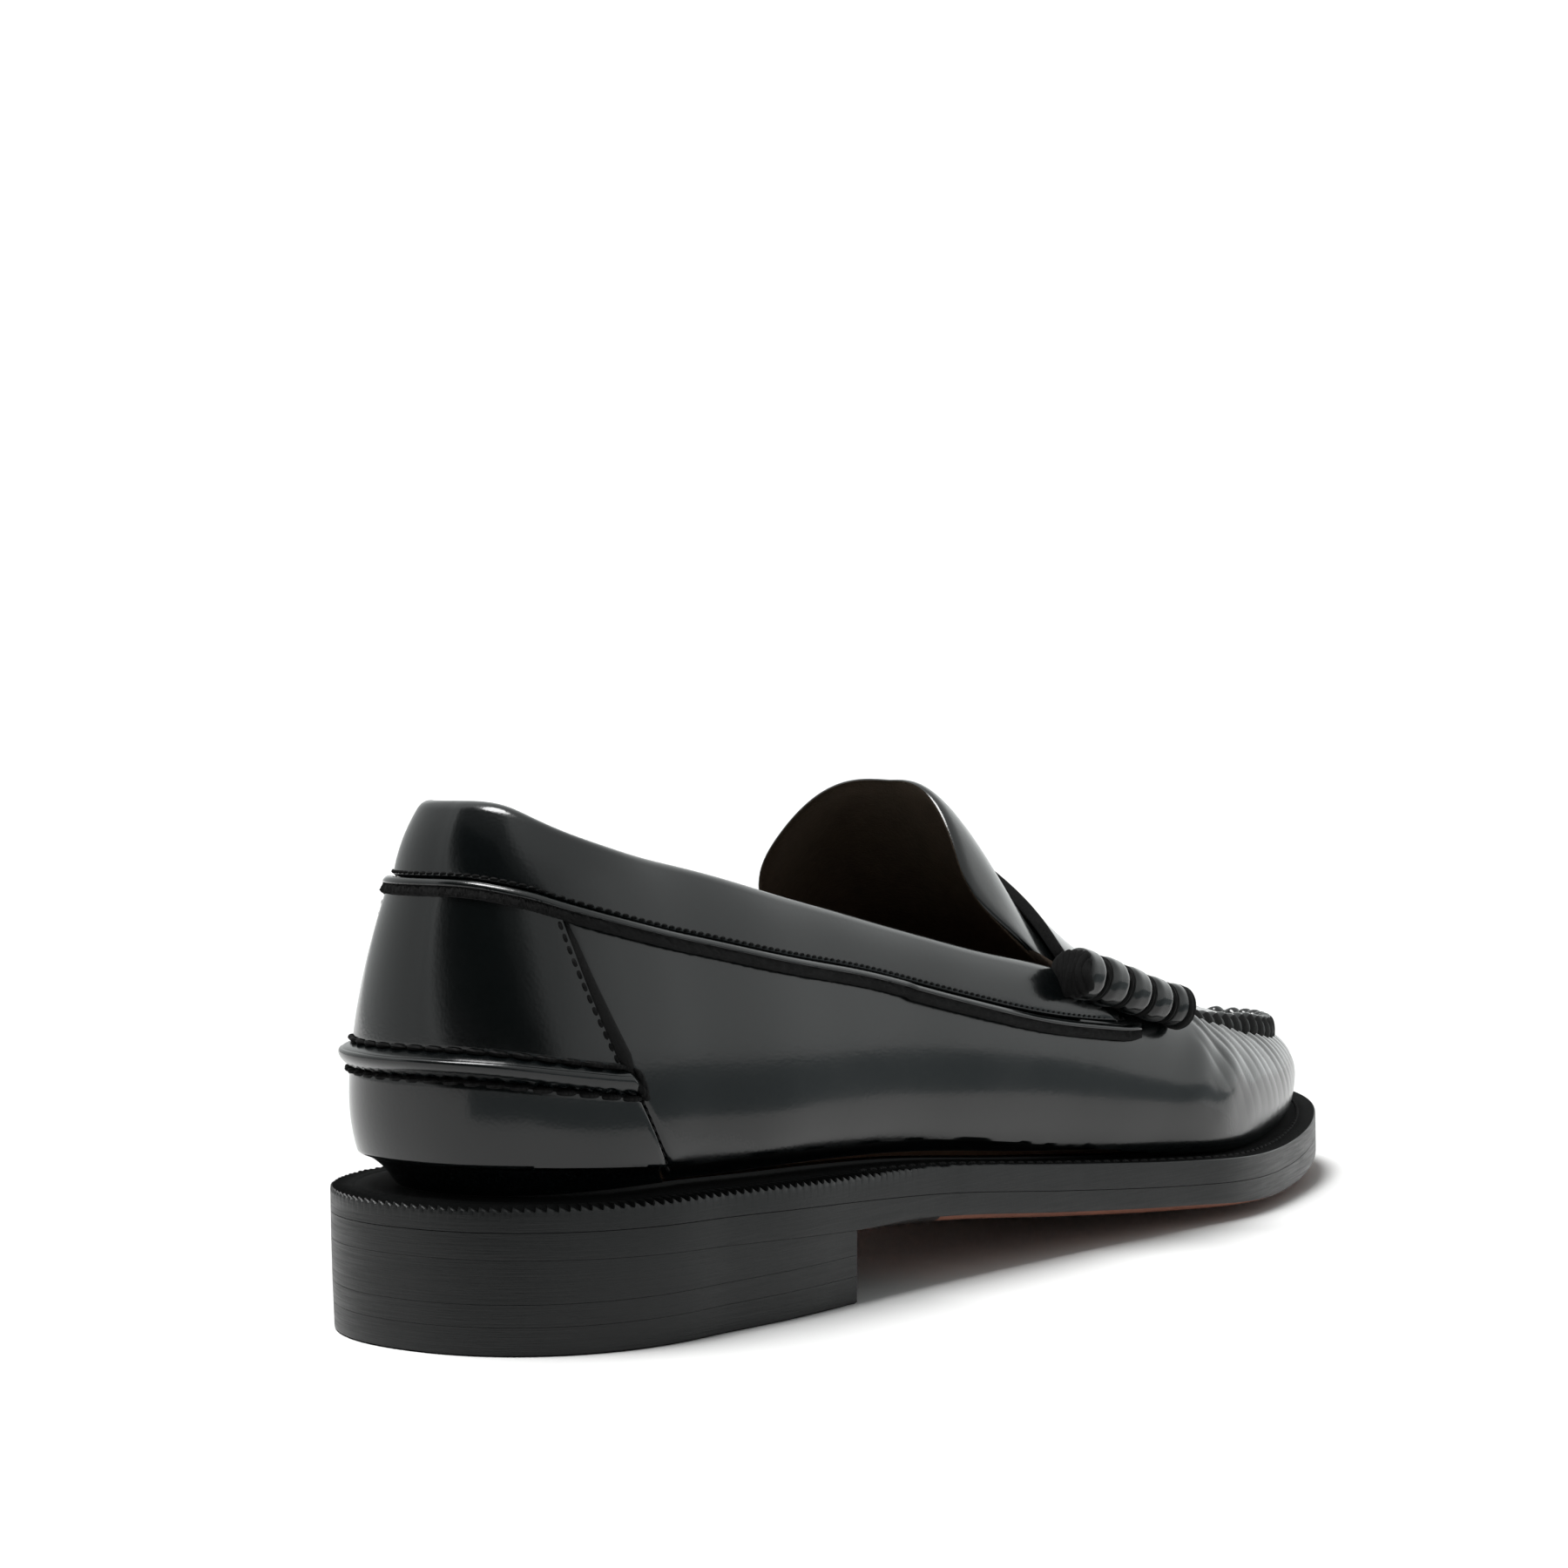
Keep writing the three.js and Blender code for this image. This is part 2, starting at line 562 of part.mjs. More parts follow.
addSole();
addHeel();
addWalls();
addCollar();
addLinings();
addPlug();
addBeefroll('outer', -1);
addBeefroll('inner', 1);
addThreads();

const box = new THREE.Box3().setFromObject(shoe);
const middle = box.getCenter(new THREE.Vector3());
shoe.position.set(-middle.x, -middle.y, -box.min.z);

export default shoe;
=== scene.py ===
"""The visual model of a black penny loafer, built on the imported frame.

Shapes are worked out in millimetres from the back of the outsole (X to the toe, Y to the
inner side of the foot, Z up) and put into the frame's metres by to_frame().
"""
import math

import bmesh
import bpy
import numpy as np
from mathutils import Matrix, Vector


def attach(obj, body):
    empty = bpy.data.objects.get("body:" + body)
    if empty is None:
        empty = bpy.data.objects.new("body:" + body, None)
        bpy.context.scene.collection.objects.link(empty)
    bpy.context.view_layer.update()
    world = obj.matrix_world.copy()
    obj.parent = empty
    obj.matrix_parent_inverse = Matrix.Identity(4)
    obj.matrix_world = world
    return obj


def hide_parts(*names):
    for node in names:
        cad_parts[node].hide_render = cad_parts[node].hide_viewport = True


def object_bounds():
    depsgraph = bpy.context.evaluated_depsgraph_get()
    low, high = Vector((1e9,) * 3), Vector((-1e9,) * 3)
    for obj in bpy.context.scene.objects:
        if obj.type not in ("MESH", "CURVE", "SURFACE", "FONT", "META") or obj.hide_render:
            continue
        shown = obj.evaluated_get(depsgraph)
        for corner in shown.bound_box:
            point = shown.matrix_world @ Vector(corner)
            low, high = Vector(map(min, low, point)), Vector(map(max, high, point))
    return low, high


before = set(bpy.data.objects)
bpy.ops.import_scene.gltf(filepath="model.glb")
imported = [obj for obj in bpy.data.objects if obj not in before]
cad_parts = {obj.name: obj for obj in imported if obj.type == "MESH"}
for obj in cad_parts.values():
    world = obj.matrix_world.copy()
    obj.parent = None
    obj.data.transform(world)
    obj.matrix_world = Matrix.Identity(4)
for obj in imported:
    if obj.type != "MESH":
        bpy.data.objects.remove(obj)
cad_box = [[float(v) for v in corner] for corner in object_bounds()]

# ---------------------------------------------------------------- dimensions (mm)
LENGTH = 302.0
HEEL_DEPTH = 40.5
HEEL_ROUNDNESS = 2.2
TOE_START = 195.0
TOE_SWING = 7.5
HEEL_BREAST = 78.0
HEEL_TAPER = 0.3
TOP_PIECE = 5.0
LIFT = 3.6
GAP = 0.35
WELT_WIDTH = 13.0
FOOT_INSET = 8.5
LEATHER = 1.8
COLLAR_FRONT = 150.0
PIPING_FRONT = 175.0
PIPING_WIDTH = 3.1
STRIP_END = 0.391
SIDE_SEAM = 25.0
SEAM_START = 198.0
ROLL_BACK = 150.0
ROLL_FRONT = 190.0
ROLL_RADIUS = 4.1
WRAPS = 4
ROLL_PITCH = 4.1
ROLL_TALL = 4.55
ROLL_WIDE = 4.0
PLEAT = 5.8
TUCK = 3.4
STRAP_THICKNESS = 2.5
SLOT_AT = 190
SLOT_REACH = 0.40
WHEEL_PITCH = 1.95
WELT_CHANNEL = 4.2
WELT_PITCH = 3.1
INSOLE_THICKNESS = 2.6
SOCK_THICKNESS = 1.3
MM_PER_LAP = 372.0  # one lap of the outline, heel to toe
FOOT_T = -0.05      # where the upper's sheets begin, tucked in below the wall
WAIST = 104.0       # behind it the sole's underside has the same black material as its edge

FRAME_X = cad_box[0][0] * 1000
FRAME_Y = -4.785


def to_frame(points):
    return (np.asarray(points) + np.array([FRAME_X, FRAME_Y, 0.0])) / 1000


def smoothstep(x, a, b):
    s = np.clip((np.asarray(x, float) - a) / (b - a), 0, 1)
    return s * s * (3 - 2 * s)


def unit(vectors):
    return vectors / np.linalg.norm(vectors, axis=-1, keepdims=True)


def run_along(line):
    """The running length at every point of a line."""
    return np.concatenate([[0], np.cumsum(np.linalg.norm(np.diff(line, axis=0), axis=1))])


def turns_of(count):
    return np.linspace(0, 2 * np.pi, count, endpoint=False)


def off(origin, *steps):
    """Points off an origin, by (axis, distances) one after another."""
    for axis, distances in steps:
        origin = origin + axis * np.asarray(distances)[..., None]
    return origin


def through(*knots, blur=3.0):
    """A smooth curve through [x, value] knots, level beyond both ends."""
    xs, ys = np.array(knots, float).T
    lo = np.maximum(np.arange(len(xs)) - 1, 0)
    hi = np.minimum(np.arange(len(xs)) + 1, len(xs) - 1)
    slopes = (ys[hi] - ys[lo]) / (xs[hi] - xs[lo])
    grid = np.arange(-30, LENGTH + 30, 0.5)
    i = np.clip(np.searchsorted(xs, grid, side="right") - 1, 0, len(xs) - 2)
    span = xs[i + 1] - xs[i]
    s = np.clip((grid - xs[i]) / span, 0, 1)
    rise = s * s * (3 - 2 * s)
    lean = slopes[i] * s * (1 - s) ** 2 - slopes[i + 1] * s * s * (1 - s)
    values = ys[i] * (1 - rise) + ys[i + 1] * rise + lean * span
    if blur:
        k = np.exp(-0.5 * (np.arange(-24, 25) * 0.5 / blur) ** 2)
        k /= k.sum()
        padded = np.concatenate([np.full(24, values[0]), values, np.full(24, values[-1])])
        values = np.convolve(padded, k, mode="valid")
    return lambda x: np.interp(x, grid, values)


# ---------------------------------------------------------------- the sole's outline
outer_width = through([40, 37.4], [60, 39.7], [80, 39.9], [110, 40.7], [145, 44.4], [180, 50.8],
                      [205, 55.2], [240, 55], [270, 54])
inner_width = through([40, 37.4], [60, 37.6], [85, 36], [115, 33.5], [145, 36], [180, 46],
                      [205, 52.5], [240, 54], [270, 54])
sole_bottom = through([0, 16.6], [40, 15.4], [80, 13.3], [110, 11.2], [145, 7.5], [180, 4.4],
                      [210, 2.7], [230, 2.5], [250, 3.4], [275, 5.4], [302, 7.6])
sole_crown = through([80, 0], [145, 1.3], [210, 2.4], [260, 1.8], [302, 1])
outsole_thickness = through([0, 4.6], [80, 5.2], [302, 4.6])
sole_thickness = through([0, 8.9], [80, 10.2], [140, 10.4], [210, 9.8], [302, 8.5])


def sole_top(x):
    return sole_bottom(x) + sole_thickness(x)


def centre_line(x):
    return TOE_SWING * smoothstep(x, 110, 250)


def half_width(x, side):
    width = np.where(side < 0, outer_width(x), inner_width(x))
    back = np.maximum(0, 1 - x / HEEL_DEPTH)
    front = np.maximum(0, (x - TOE_START) / (LENGTH - TOE_START))
    heel = (1 - back ** HEEL_ROUNDNESS) ** (1 / HEEL_ROUNDNESS)
    return width * heel * np.sqrt(np.maximum(0, 1 - front ** 2))


def lap_of(g):
    """Laps run from the heel (0) along the outer side to the toe (1) and back (2)."""
    lap = np.mod(g, 2)
    side = np.where(lap <= 1, -1.0, 1.0)
    way = np.where(lap <= 1, lap, 2 - lap)
    return side, LENGTH * (1 - np.cos(np.pi * way)) / 2


def lap_at(x):
    return np.arccos(np.clip(1 - 2 * np.asarray(x, float) / LENGTH, -1, 1)) / np.pi


def edge(g):
    side, x = lap_of(g)
    return np.stack([x, centre_line(x) + side * half_width(x, side)], -1)


def inset_edge(g, inset):
    step = 0.004
    along = unit(edge(g + step) - edge(g - step))
    inwards = np.stack([-along[..., 1], along[..., 0]], -1)
    return edge(g) + inwards * np.asarray(inset)[..., None]


# ---------------------------------------------------------------- the upper's outer face
top_profile = through([0, 94.7], [6, 91.9], [14, 89.1], [24, 86.5], [40, 82.8], [63, 77.1],
                      [102, 67.8], [126, 61.9], [150, 57], [165, 52.8], [180, 48], [209, 42],
                      [235, 37], [262, 33.2], [302, 31.5])
outer_top_inset = through([0, 17], [14, 15], [30, 14], [60, 11.5], [118, 8.5], [150, 8.5],
                          [180, 10.5], [209, 13], [235, 12.5], [262, 10.5], [302, 12])
inner_top_inset = through([0, 17], [14, 18.5], [30, 16], [60, 8], [90, 2.5], [118, 0], [147, 1],
                          [180, 8], [209, 12.5], [235, 12.5], [262, 10.5], [302, 12])
low_inset = through([0, 0], [60, -0.5], [120, 0], [180, 1], [230, 2], [302, 2])
outer_high_inset = through([0, 5], [14, 4.5], [60, 4], [118, 2], [150, 2.5], [180, 3], [230, 4],
                           [302, 4])
inner_high_inset = through([0, 5], [14, 7], [30, 6.5], [60, 3], [90, -1], [118, -4], [150, -3],
                           [180, 2], [230, 4], [302, 4])
low_rise = through([0, 0.21], [150, 0.23], [230, 0.25])
high_rise = through([0, 0.64], [150, 0.7], [230, 0.82])
piping_profile = through([0, 80.6], [6, 78.2], [12, 76.6], [20, 74.9], [40, 70.1], [63, 64.6],
                         [90, 59.5], [116, 53.2], [143, 47.2], [171, 43])
heel_roll_profile = through([0, 48.8], [11, 46.8], [25, 44.6])
crevice = through([0, 6.6], [16, 6.4], [64, 5], [117, 5], [134, 4.5], [173, 2.3], [192, 1.2],
                  [230, 1])


def reach(g):
    side, x = lap_of(g)
    delay = np.where(side < 0, 0, 11 * (1 - smoothstep(x, 60, 180)))
    return np.maximum(0, x - delay)


def top_height(g):
    return top_profile(reach(g))


SEAM = lap_at(SIDE_SEAM)
COLLAR_END = lap_at(COLLAR_FRONT)


def slant(g, t):
    """How far the sampled columns lean, so that both side seams follow one of them."""
    away = np.mod(np.asarray(g) + 1, 2) - 1
    size = np.abs(away)
    nearness = np.where(size < SEAM, size / SEAM, np.maximum(0, 1 - (size - SEAM) / 0.15))
    return np.sign(away) * nearness * (0.045 - 0.13 * t)


def wall_face(g, t):
    side, x = lap_of(g)
    foot = sole_top(x) + GAP
    rise = top_height(g) - foot
    top = np.where(side < 0, outer_top_inset(x), inner_top_inset(x))
    high = np.where(side < 0, outer_high_inset(x), inner_high_inset(x))
    b = [(1 - t) ** 3, 3 * t * (1 - t) ** 2, 3 * t * t * (1 - t), t ** 3]
    inset = b[0] * FOOT_INSET + b[1] * low_inset(x) + b[2] * high + b[3] * top
    height = (b[0] * foot + b[1] * (foot + low_rise(x) * rise)
              + b[2] * (foot + high_rise(x) * rise) + b[3] * top_height(g))
    return np.concatenate([inset_edge(g, inset), height[..., None]], -1)


# The face, sampled once all the way round and smoothed along the lap.
LAPS, ROWS = 2400, 160
_g = np.arange(LAPS) * 2 / LAPS
_t = np.linspace(-0.055, 1.03, ROWS)
_G, _T = np.meshgrid(_g, _t, indexing="ij")


def blurred(field, sigma):
    spectrum = np.fft.rfft(field, axis=0)
    decay = np.exp(-0.5 * (2 * np.pi * np.fft.rfftfreq(len(field)) * sigma) ** 2)
    return np.fft.irfft(spectrum * decay.reshape(-1, *[1] * (field.ndim - 1)), len(field), axis=0)


_skin = blurred(wall_face(_G + slant(_G, _T), _T), 7)
_along = np.roll(_skin, -1, 0) - np.roll(_skin, 1, 0)
_normal = unit(blurred(unit(np.cross(_along, np.gradient(_skin, axis=1))), 4))
_length = np.concatenate([np.zeros((LAPS, 1)),
                          np.cumsum(np.linalg.norm(np.diff(_skin, axis=1), axis=-1), 1)], 1)


def look_up(table, g, t):
    g, t = np.broadcast_arrays(np.asarray(g, float), np.asarray(t, float))
    u = np.mod(g, 2) * LAPS / 2
    v = np.clip((t - _t[0]) / (_t[1] - _t[0]), 0, ROWS - 1.001)
    i, j = np.floor(u).astype(int) % LAPS, np.floor(v).astype(int)
    k = (i + 1) % LAPS
    a, b = (u - np.floor(u)), v - j
    if table.ndim > 2:
        a, b = a[..., None], b[..., None]
    return ((1 - a) * ((1 - b) * table[i, j] + b * table[i, j + 1])
            + a * ((1 - b) * table[k, j] + b * table[k, j + 1]))


def skin(g, t, depth=0.0):
    """A point of the upper at a lap, a height t (0 welt, 1 top) and a depth inwards."""
    out = unit(look_up(_normal, g, t))
    depth = np.broadcast_to(depth, out.shape[:-1])
    return look_up(_skin, g, t) - out * depth[..., None]


def column(table, g):
    u = np.mod(g, 2) * LAPS / 2
    i = int(math.floor(u)) % LAPS
    a = u - math.floor(u)
    return (1 - a) * table[i] + a * table[(i + 1) % LAPS]


def t_at_height(laps, heights):
    return np.array([np.interp(z, wall_face(np.full(ROWS, g), _t)[:, 2], _t)
                     for g, z in zip(laps, heights)])


def length_at(g, t):
    return look_up(_length, g, t)


def t_at_length(laps, lengths):
    """t for rows of lengths (mm above the welt), one row of lengths for each lap."""
    return np.stack([np.interp(row, column(_length, g), _t) for g, row in zip(laps, lengths)])


# ---------------------------------------------------------------- the instep
instep_height = through([140, 96], [148, 94.6], [153, 90.5], [160, 81.8], [170, 71], [184, 59.5],
                        [197, 53], [211, 48], [225, 44.5], [240, 42.2], [257, 40.4], [277, 37.4],
                        [302, 33])
plug_margin = through([145, 3], [198, 3.5], [212, 1.7], [302, 1.7])
outer_fall = through([146, 2.3], [160, 1.4], [182, 1.4], [204, 2.2])
inner_fall = through([150, 2.75], [195, 2.2])


def instep_face(x, q):
    x = np.clip(x, 1, LENGTH - 0.05)
    g = lap_at(x)
    outer = inset_edge(g, outer_top_inset(x) + plug_margin(x))
    inner = inset_edge(2 - g, inner_top_inset(x) + plug_margin(x))
    mix = ((q + 1) / 2)[..., None]
    spot = outer * (1 - mix) + inner * mix
    side = np.where(q < 0, top_height(g), top_height(2 - g))
    fall = np.clip(np.abs(q), 0, 2) ** np.where(q < 0, outer_fall(x), inner_fall(x))
    return np.concatenate([spot, (instep_height(x) * (1 - fall) + side * fall)[..., None]], -1)


def tongue_end(q):
    """Where the tongue stops: highest in the middle, coming forward again at both sides."""
    away = np.abs(q)
    return 147.4 - 16 * away ** 1.5 + 24.5 * np.clip((away - 0.7) / 0.3, 0, 1) ** 3.2


def instep_point(x, q, lift):
    x, q, lift = np.broadcast_arrays(*(np.asarray(v, float) for v in (x, q, lift)))
    forwards = instep_face(x + 0.8, q) - instep_face(x - 0.8, q)
    sideways = instep_face(x, q + 0.02) - instep_face(x, q - 0.02)
    out = np.cross(forwards, sideways)
    out /= np.linalg.norm(out, axis=-1, keepdims=True) + 1e-9
    return instep_face(x, q) + out * lift[..., None]


# ---------------------------------------------------------------- randomness and waves
rng = np.random.default_rng(7)


def ripple(points, size, wavelength, seed):
    """A gentle, fixed unevenness of about +-size mm."""
    source = np.random.default_rng(seed)
    total = np.zeros(points.shape[:-1])
    for _ in range(14):
        direction = unit(source.normal(size=3))
        scale = wavelength * source.uniform(0.7, 1.6)
        total += np.sin(points @ direction * 2 * np.pi / scale + source.uniform(0, 6.28))
    return total * size / 3.7


# ---------------------------------------------------------------- materials
def fill(made, **inputs):
    """Set a node's inputs, or link those whose value is another node's output."""
    for key, value in inputs.items():
        socket = made.inputs[key.replace("_", " ")]
        if isinstance(value, bpy.types.NodeSocket):
            made.id_data.links.new(value, socket)
        else:
            socket.default_value = value
    return made


def new_material(name, **inputs):
    material = bpy.data.materials.new(name)
    material.use_nodes = True
    tree = material.node_tree
    return material, tree, fill(tree.nodes["Principled BSDF"], **inputs)


def node(tree, kind, **inputs):
    return fill(tree.nodes.new(kind), **inputs)


def object_coordinates(tree, scale=(1, 1, 1)):
    where = node(tree, "ShaderNodeTexCoord").outputs["Object"]
    return node(tree, "ShaderNodeMapping", Vector=where, Scale=scale).outputs["Vector"]


def noise(tree, vector, scale, detail=3.0, roughness=0.55):
    return node(tree, "ShaderNodeTexNoise", Vector=vector, Scale=scale, Detail=detail,
                Roughness=roughness).outputs["Fac"]


def ramp(tree, value, low, high, low_in=0.3, high_in=0.7):
    return node(tree, "ShaderNodeMapRange", Value=value, From_Min=low_in, From_Max=high_in,
                To_Min=low, To_Max=high).outputs["Result"]


def colours(tree, value, *stops):
    made = node(tree, "ShaderNodeValToRGB", Fac=value)
    elements = made.color_ramp.elements
    elements[0].position, elements[0].color = stops[0][0], (*stops[0][1], 1)
    elements[1].position, elements[1].color = stops[-1][0], (*stops[-1][1], 1)
    for position, colour in stops[1:-1]:
        elements.new(position).color = (*colour, 1)
    return made.outputs["Color"]


def bump(tree, *layers):
    """Layers of (height output, strength, distance in metres), one on another."""
    under = {}
    for height, strength, distance in layers:
        made = node(tree, "ShaderNodeBump", Height=height, Strength=strength, Distance=distance,
                    **under)
        under = {"Normal": made.outputs["Normal"]}
    return made.outputs["Normal"]


def polished_calf(name, dark, light, roughness, coat, grain=1.0):
    material, tree, shader = new_material(name, Coat_Weight=coat, Coat_Roughness=0.10,
                                          Coat_IOR=1.45, Specular_IOR_Level=0.38)
    at = object_coordinates(tree)
    broad = noise(tree, at, 22, 2)
    fine = noise(tree, at, 900, 4, 0.6)
    cells = node(tree, "ShaderNodeTexVoronoi", Vector=at, Scale=1500.0).outputs["Distance"]
    fill(shader, Base_Color=colours(tree, broad, (0.3, dark), (0.7, light)),
         Roughness=ramp(tree, noise(tree, at, 60, 4), roughness - 0.03, roughness + 0.05),
         Normal=bump(tree, (broad, 0.12, 0.0006), (fine, 0.10 * grain, 0.00012),
                     (cells, 0.10 * grain, 0.0001)))
    return material


def fibrous(name, *stops, scale=700, roughness=0.95, sheen=0.0, depth=0.0006, tint=(1, 1, 1),
            specular=0.2):
    """Suede, raw edges and cork: a nap of short fibres."""
    material, tree, shader = new_material(name, Sheen_Weight=sheen, Sheen_Roughness=0.5,
                                          Sheen_Tint=(*tint, 1), Specular_IOR_Level=specular)
    at = object_coordinates(tree)
    nap = noise(tree, at, scale, 6, 0.75)
    fill(shader, Base_Color=colours(tree, noise(tree, at, 70, 5, 0.65), *stops),
         Roughness=ramp(tree, nap, roughness - 0.08, roughness + 0.04),
         Normal=bump(tree, (nap, 0.8, depth)))
    return material


def brushed_edge(name, dark, light, roughness):
    """A dyed and burnished sole edge, with fine lines along it."""
    material, tree, shader = new_material(name, Coat_Weight=0.04, Coat_Roughness=0.35,
                                          Specular_IOR_Level=0.29)
    at = object_coordinates(tree)
    streaks = noise(tree, object_coordinates(tree, (0.03, 0.03, 1)), 2600, 3, 0.6)
    patches = noise(tree, at, 45, 4, 0.6)
    fill(shader, Base_Color=colours(tree, patches, (0.3, dark), (0.7, light)),
         Roughness=ramp(tree, streaks, roughness - 0.06, roughness + 0.1),
         Normal=bump(tree, (patches, 0.2, 0.0008), (streaks, 0.35, 0.0002),
                     (noise(tree, at, 1500, 3), 0.15, 0.0001)))
    return material


def sole_hide(name):
    material, tree, shader = new_material(name)
    grain = noise(tree, object_coordinates(tree, (1, 2.2, 1)), 260, 6, 0.7)
    patches = noise(tree, object_coordinates(tree), 30, 5, 0.6)
    hides = (0.25, (0.13, 0.040, 0.020)), (0.55, (0.19, 0.064, 0.033)), (0.8, (0.24, 0.092, 0.050))
    fill(shader, Base_Color=colours(tree, patches, *hides), Roughness=ramp(tree, grain, 0.5, 0.75),
         Normal=bump(tree, (grain, 0.35, 0.0003)))
    return material


def waxed_thread(name, dark, light, roughness):
    material, tree, shader = new_material(name, Specular_IOR_Level=0.15)
    at = object_coordinates(tree)
    twist = node(tree, "ShaderNodeTexWave", Vector=at, Scale=420.0, Distortion=2.0,
                 Detail=1.0).outputs["Fac"]
    fill(shader, Base_Color=colours(tree, noise(tree, at, 300, 3), (0.3, dark), (0.7, light)),
         Roughness=ramp(tree, twist, roughness, roughness + 0.2, 0, 1),
         Normal=bump(tree, (twist, 0.5, 0.0002)))
    return material


def brushed_steel(name):
    material, tree, shader = new_material(name, Metallic=1.0)
    lines = noise(tree, object_coordinates(tree, (1, 1, 0.2)), 900, 3)
    fill(shader, Base_Color=colours(tree, lines, (0.3, (0.32, 0.33, 0.34)),
                                    (0.7, (0.5, 0.51, 0.52))),
         Roughness=ramp(tree, lines, 0.3, 0.5), Normal=bump(tree, (lines, 0.2, 0.0001)))
    return material


def grey(value):
    return (value,) * 3


CALF = polished_calf("black_calf", (0.0012, 0.0018, 0.0019), (0.0022, 0.0032, 0.0032), 0.18, 0.22)
COLLAR = polished_calf("collar_leather", (0.0014, 0.0021, 0.0023), (0.0026, 0.0036, 0.0038), 0.20,
                       0.2, 1.2)
LINING = polished_calf("lining_leather", (0.045, 0.028, 0.018), (0.075, 0.048, 0.031), 0.6, 0.0,
                       2.5)
SOCK = polished_calf("sock_leather", (0.20, 0.115, 0.062), (0.27, 0.165, 0.095), 0.55, 0.0, 2.5)
RAW_BLACK = fibrous("raw_edge", (0.3, grey(0.0035)), (0.7, grey(0.008)), scale=1200, depth=0.0004)
RAW_BROWN = fibrous("tongue_edge", (0.25, (0.006, 0.005, 0.004)), (0.55, (0.020, 0.013, 0.009)),
                    (0.8, (0.055, 0.036, 0.024)), scale=1300, sheen=0.15, tint=(0.8, 0.6, 0.45))
SUEDE = fibrous("tongue_suede", (0.25, (0.020, 0.014, 0.0085)), (0.6, (0.036, 0.025, 0.016)),
                (0.85, (0.058, 0.040, 0.026)), scale=1500, sheen=0.25, tint=(0.75, 0.6, 0.45))
WELT_TOP = fibrous("welt_top", (0.3, (0.0015, 0.0017, 0.0017)), (0.7, (0.004, 0.0044, 0.0044)),
                   scale=900, roughness=0.9, depth=0.0005, specular=0.06)
CORK = fibrous("cork", (0.3, (0.16, 0.085, 0.04)), (0.7, (0.33, 0.20, 0.11)), scale=350,
               depth=0.001)
BOARD = fibrous("leather_board", (0.3, (0.22, 0.16, 0.10)), (0.7, (0.34, 0.27, 0.19)), scale=500)
THREAD = waxed_thread("waxed_thread", grey(0.0018), grey(0.005), 0.7)
SEAM_CORD = waxed_thread("seam_cord", (0.045, 0.047, 0.047), (0.11, 0.115, 0.115), 0.6)
EDGE = brushed_edge("sole_edge", (0.0018, 0.0022, 0.0023), (0.0040, 0.0048, 0.0048), 0.40)
HIDE = sole_hide("sole_leather")
STEEL = brushed_steel("steel")


# ---------------------------------------------------------------- mesh making
def rework(mesh, weld=False):
    """Turn a closed mesh's faces outwards; weld first joins points that meet."""
    bm = bmesh.new()
    bm.from_mesh(mesh)
    if weld:
        bmesh.ops.remove_doubles(bm, verts=bm.verts, dist=2e-6)
        bmesh.ops.dissolve_degenerate(bm, dist=1e-7, edges=bm.edges)
    if bm.calc_volume(signed=True) < 0:
        bmesh.ops.reverse_faces(bm, faces=bm.faces)
    bm.to_mesh(mesh)
    bm.free()


def make_piece(name, points, faces, materials, slots=None, replaces=(), slot=None, sharp=50):
    mesh = bpy.data.meshes.new(name)
    mesh.from_pydata(to_frame(points).tolist(), [], faces)
    for material in materials:
        mesh.materials.append(material)
    if slots is not None:
        mesh.polygons.foreach_set("material_index", np.asarray(slots, np.int32))
    rework(mesh)
    mesh.polygons.foreach_set("use_smooth", np.full(len(mesh.polygons), True))
    mesh.set_sharp_from_angle(angle=math.radians(sharp))
    piece = bpy.data.objects.new(name, mesh)
    bpy.context.scene.collection.objects.link(piece)
    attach(piece, "root")
    if replaces:
        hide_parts(*replaces)
    return piece


def lattice(points, column_slots=None, wrap_u=False, start=0):
    """Faces of a grid of rows x a closed loop; open ends are closed with one face each."""
    rows, loop = points.shape[:2]
    column_slots = column_slots or [0] * loop
    faces, slots = [], []
    for i in range(rows if wrap_u else rows - 1):
        a, b = start + i * loop, start + (i + 1) % rows * loop
        faces += [(a + j, b + j, b + (j + 1) % loop, a + (j + 1) % loop) for j in range(loop)]
        slots += column_slots
    if not wrap_u:
        faces.append(tuple(range(start + loop - 1, start - 1, -1)))
        faces.append(tuple(range(start + (rows - 1) * loop, start + rows * loop)))
        slots += [max(column_slots)] * 2
    return faces, slots


def lattice_piece(name, points, materials, column_slots=None, wrap_u=False, slot="black_calf",
                  own_node=True, **rest):
    """A piece from a grid of points, standing for the CAD node of its name."""
    faces, slots = lattice(points, column_slots, wrap_u)
    return make_piece(name, points.reshape(-1, 3), faces, materials, slots, slot=slot,
                      replaces=(name,) if own_node else (), **rest)


def welded_piece(name, columns, materials, slot, kinds=None, **rest):
    """A piece from columns of points that meet at their ends, where they are welded."""
    points = np.stack(columns, 1)
    rows, loop = points.shape[:2]
    faces = [(a + j, b + j, b + j + 1, a + j + 1)
             for a, b in ((i * loop, (i + 1) % rows * loop) for i in range(rows))
             for j in range(loop - 1)]
    piece = make_piece(name, points.reshape(-1, 3), faces, materials, kinds, replaces=(name,),
                       slot=slot, **rest)
    rework(piece.data, weld=True)


def laps_between(start, stop, step_mm=0.8):
    """Laps about step_mm apart, closer together at both ends."""
    laps = np.linspace(start, stop, max(4, int(abs(stop - start) * MM_PER_LAP / step_mm)))
    ease = np.array([0.02, 0.12, 0.3, 0.55]) * 1.6 / MM_PER_LAP * np.sign(stop - start)
    return np.concatenate([[start], start + ease, laps[3:-3], stop - ease[::-1], [stop]])


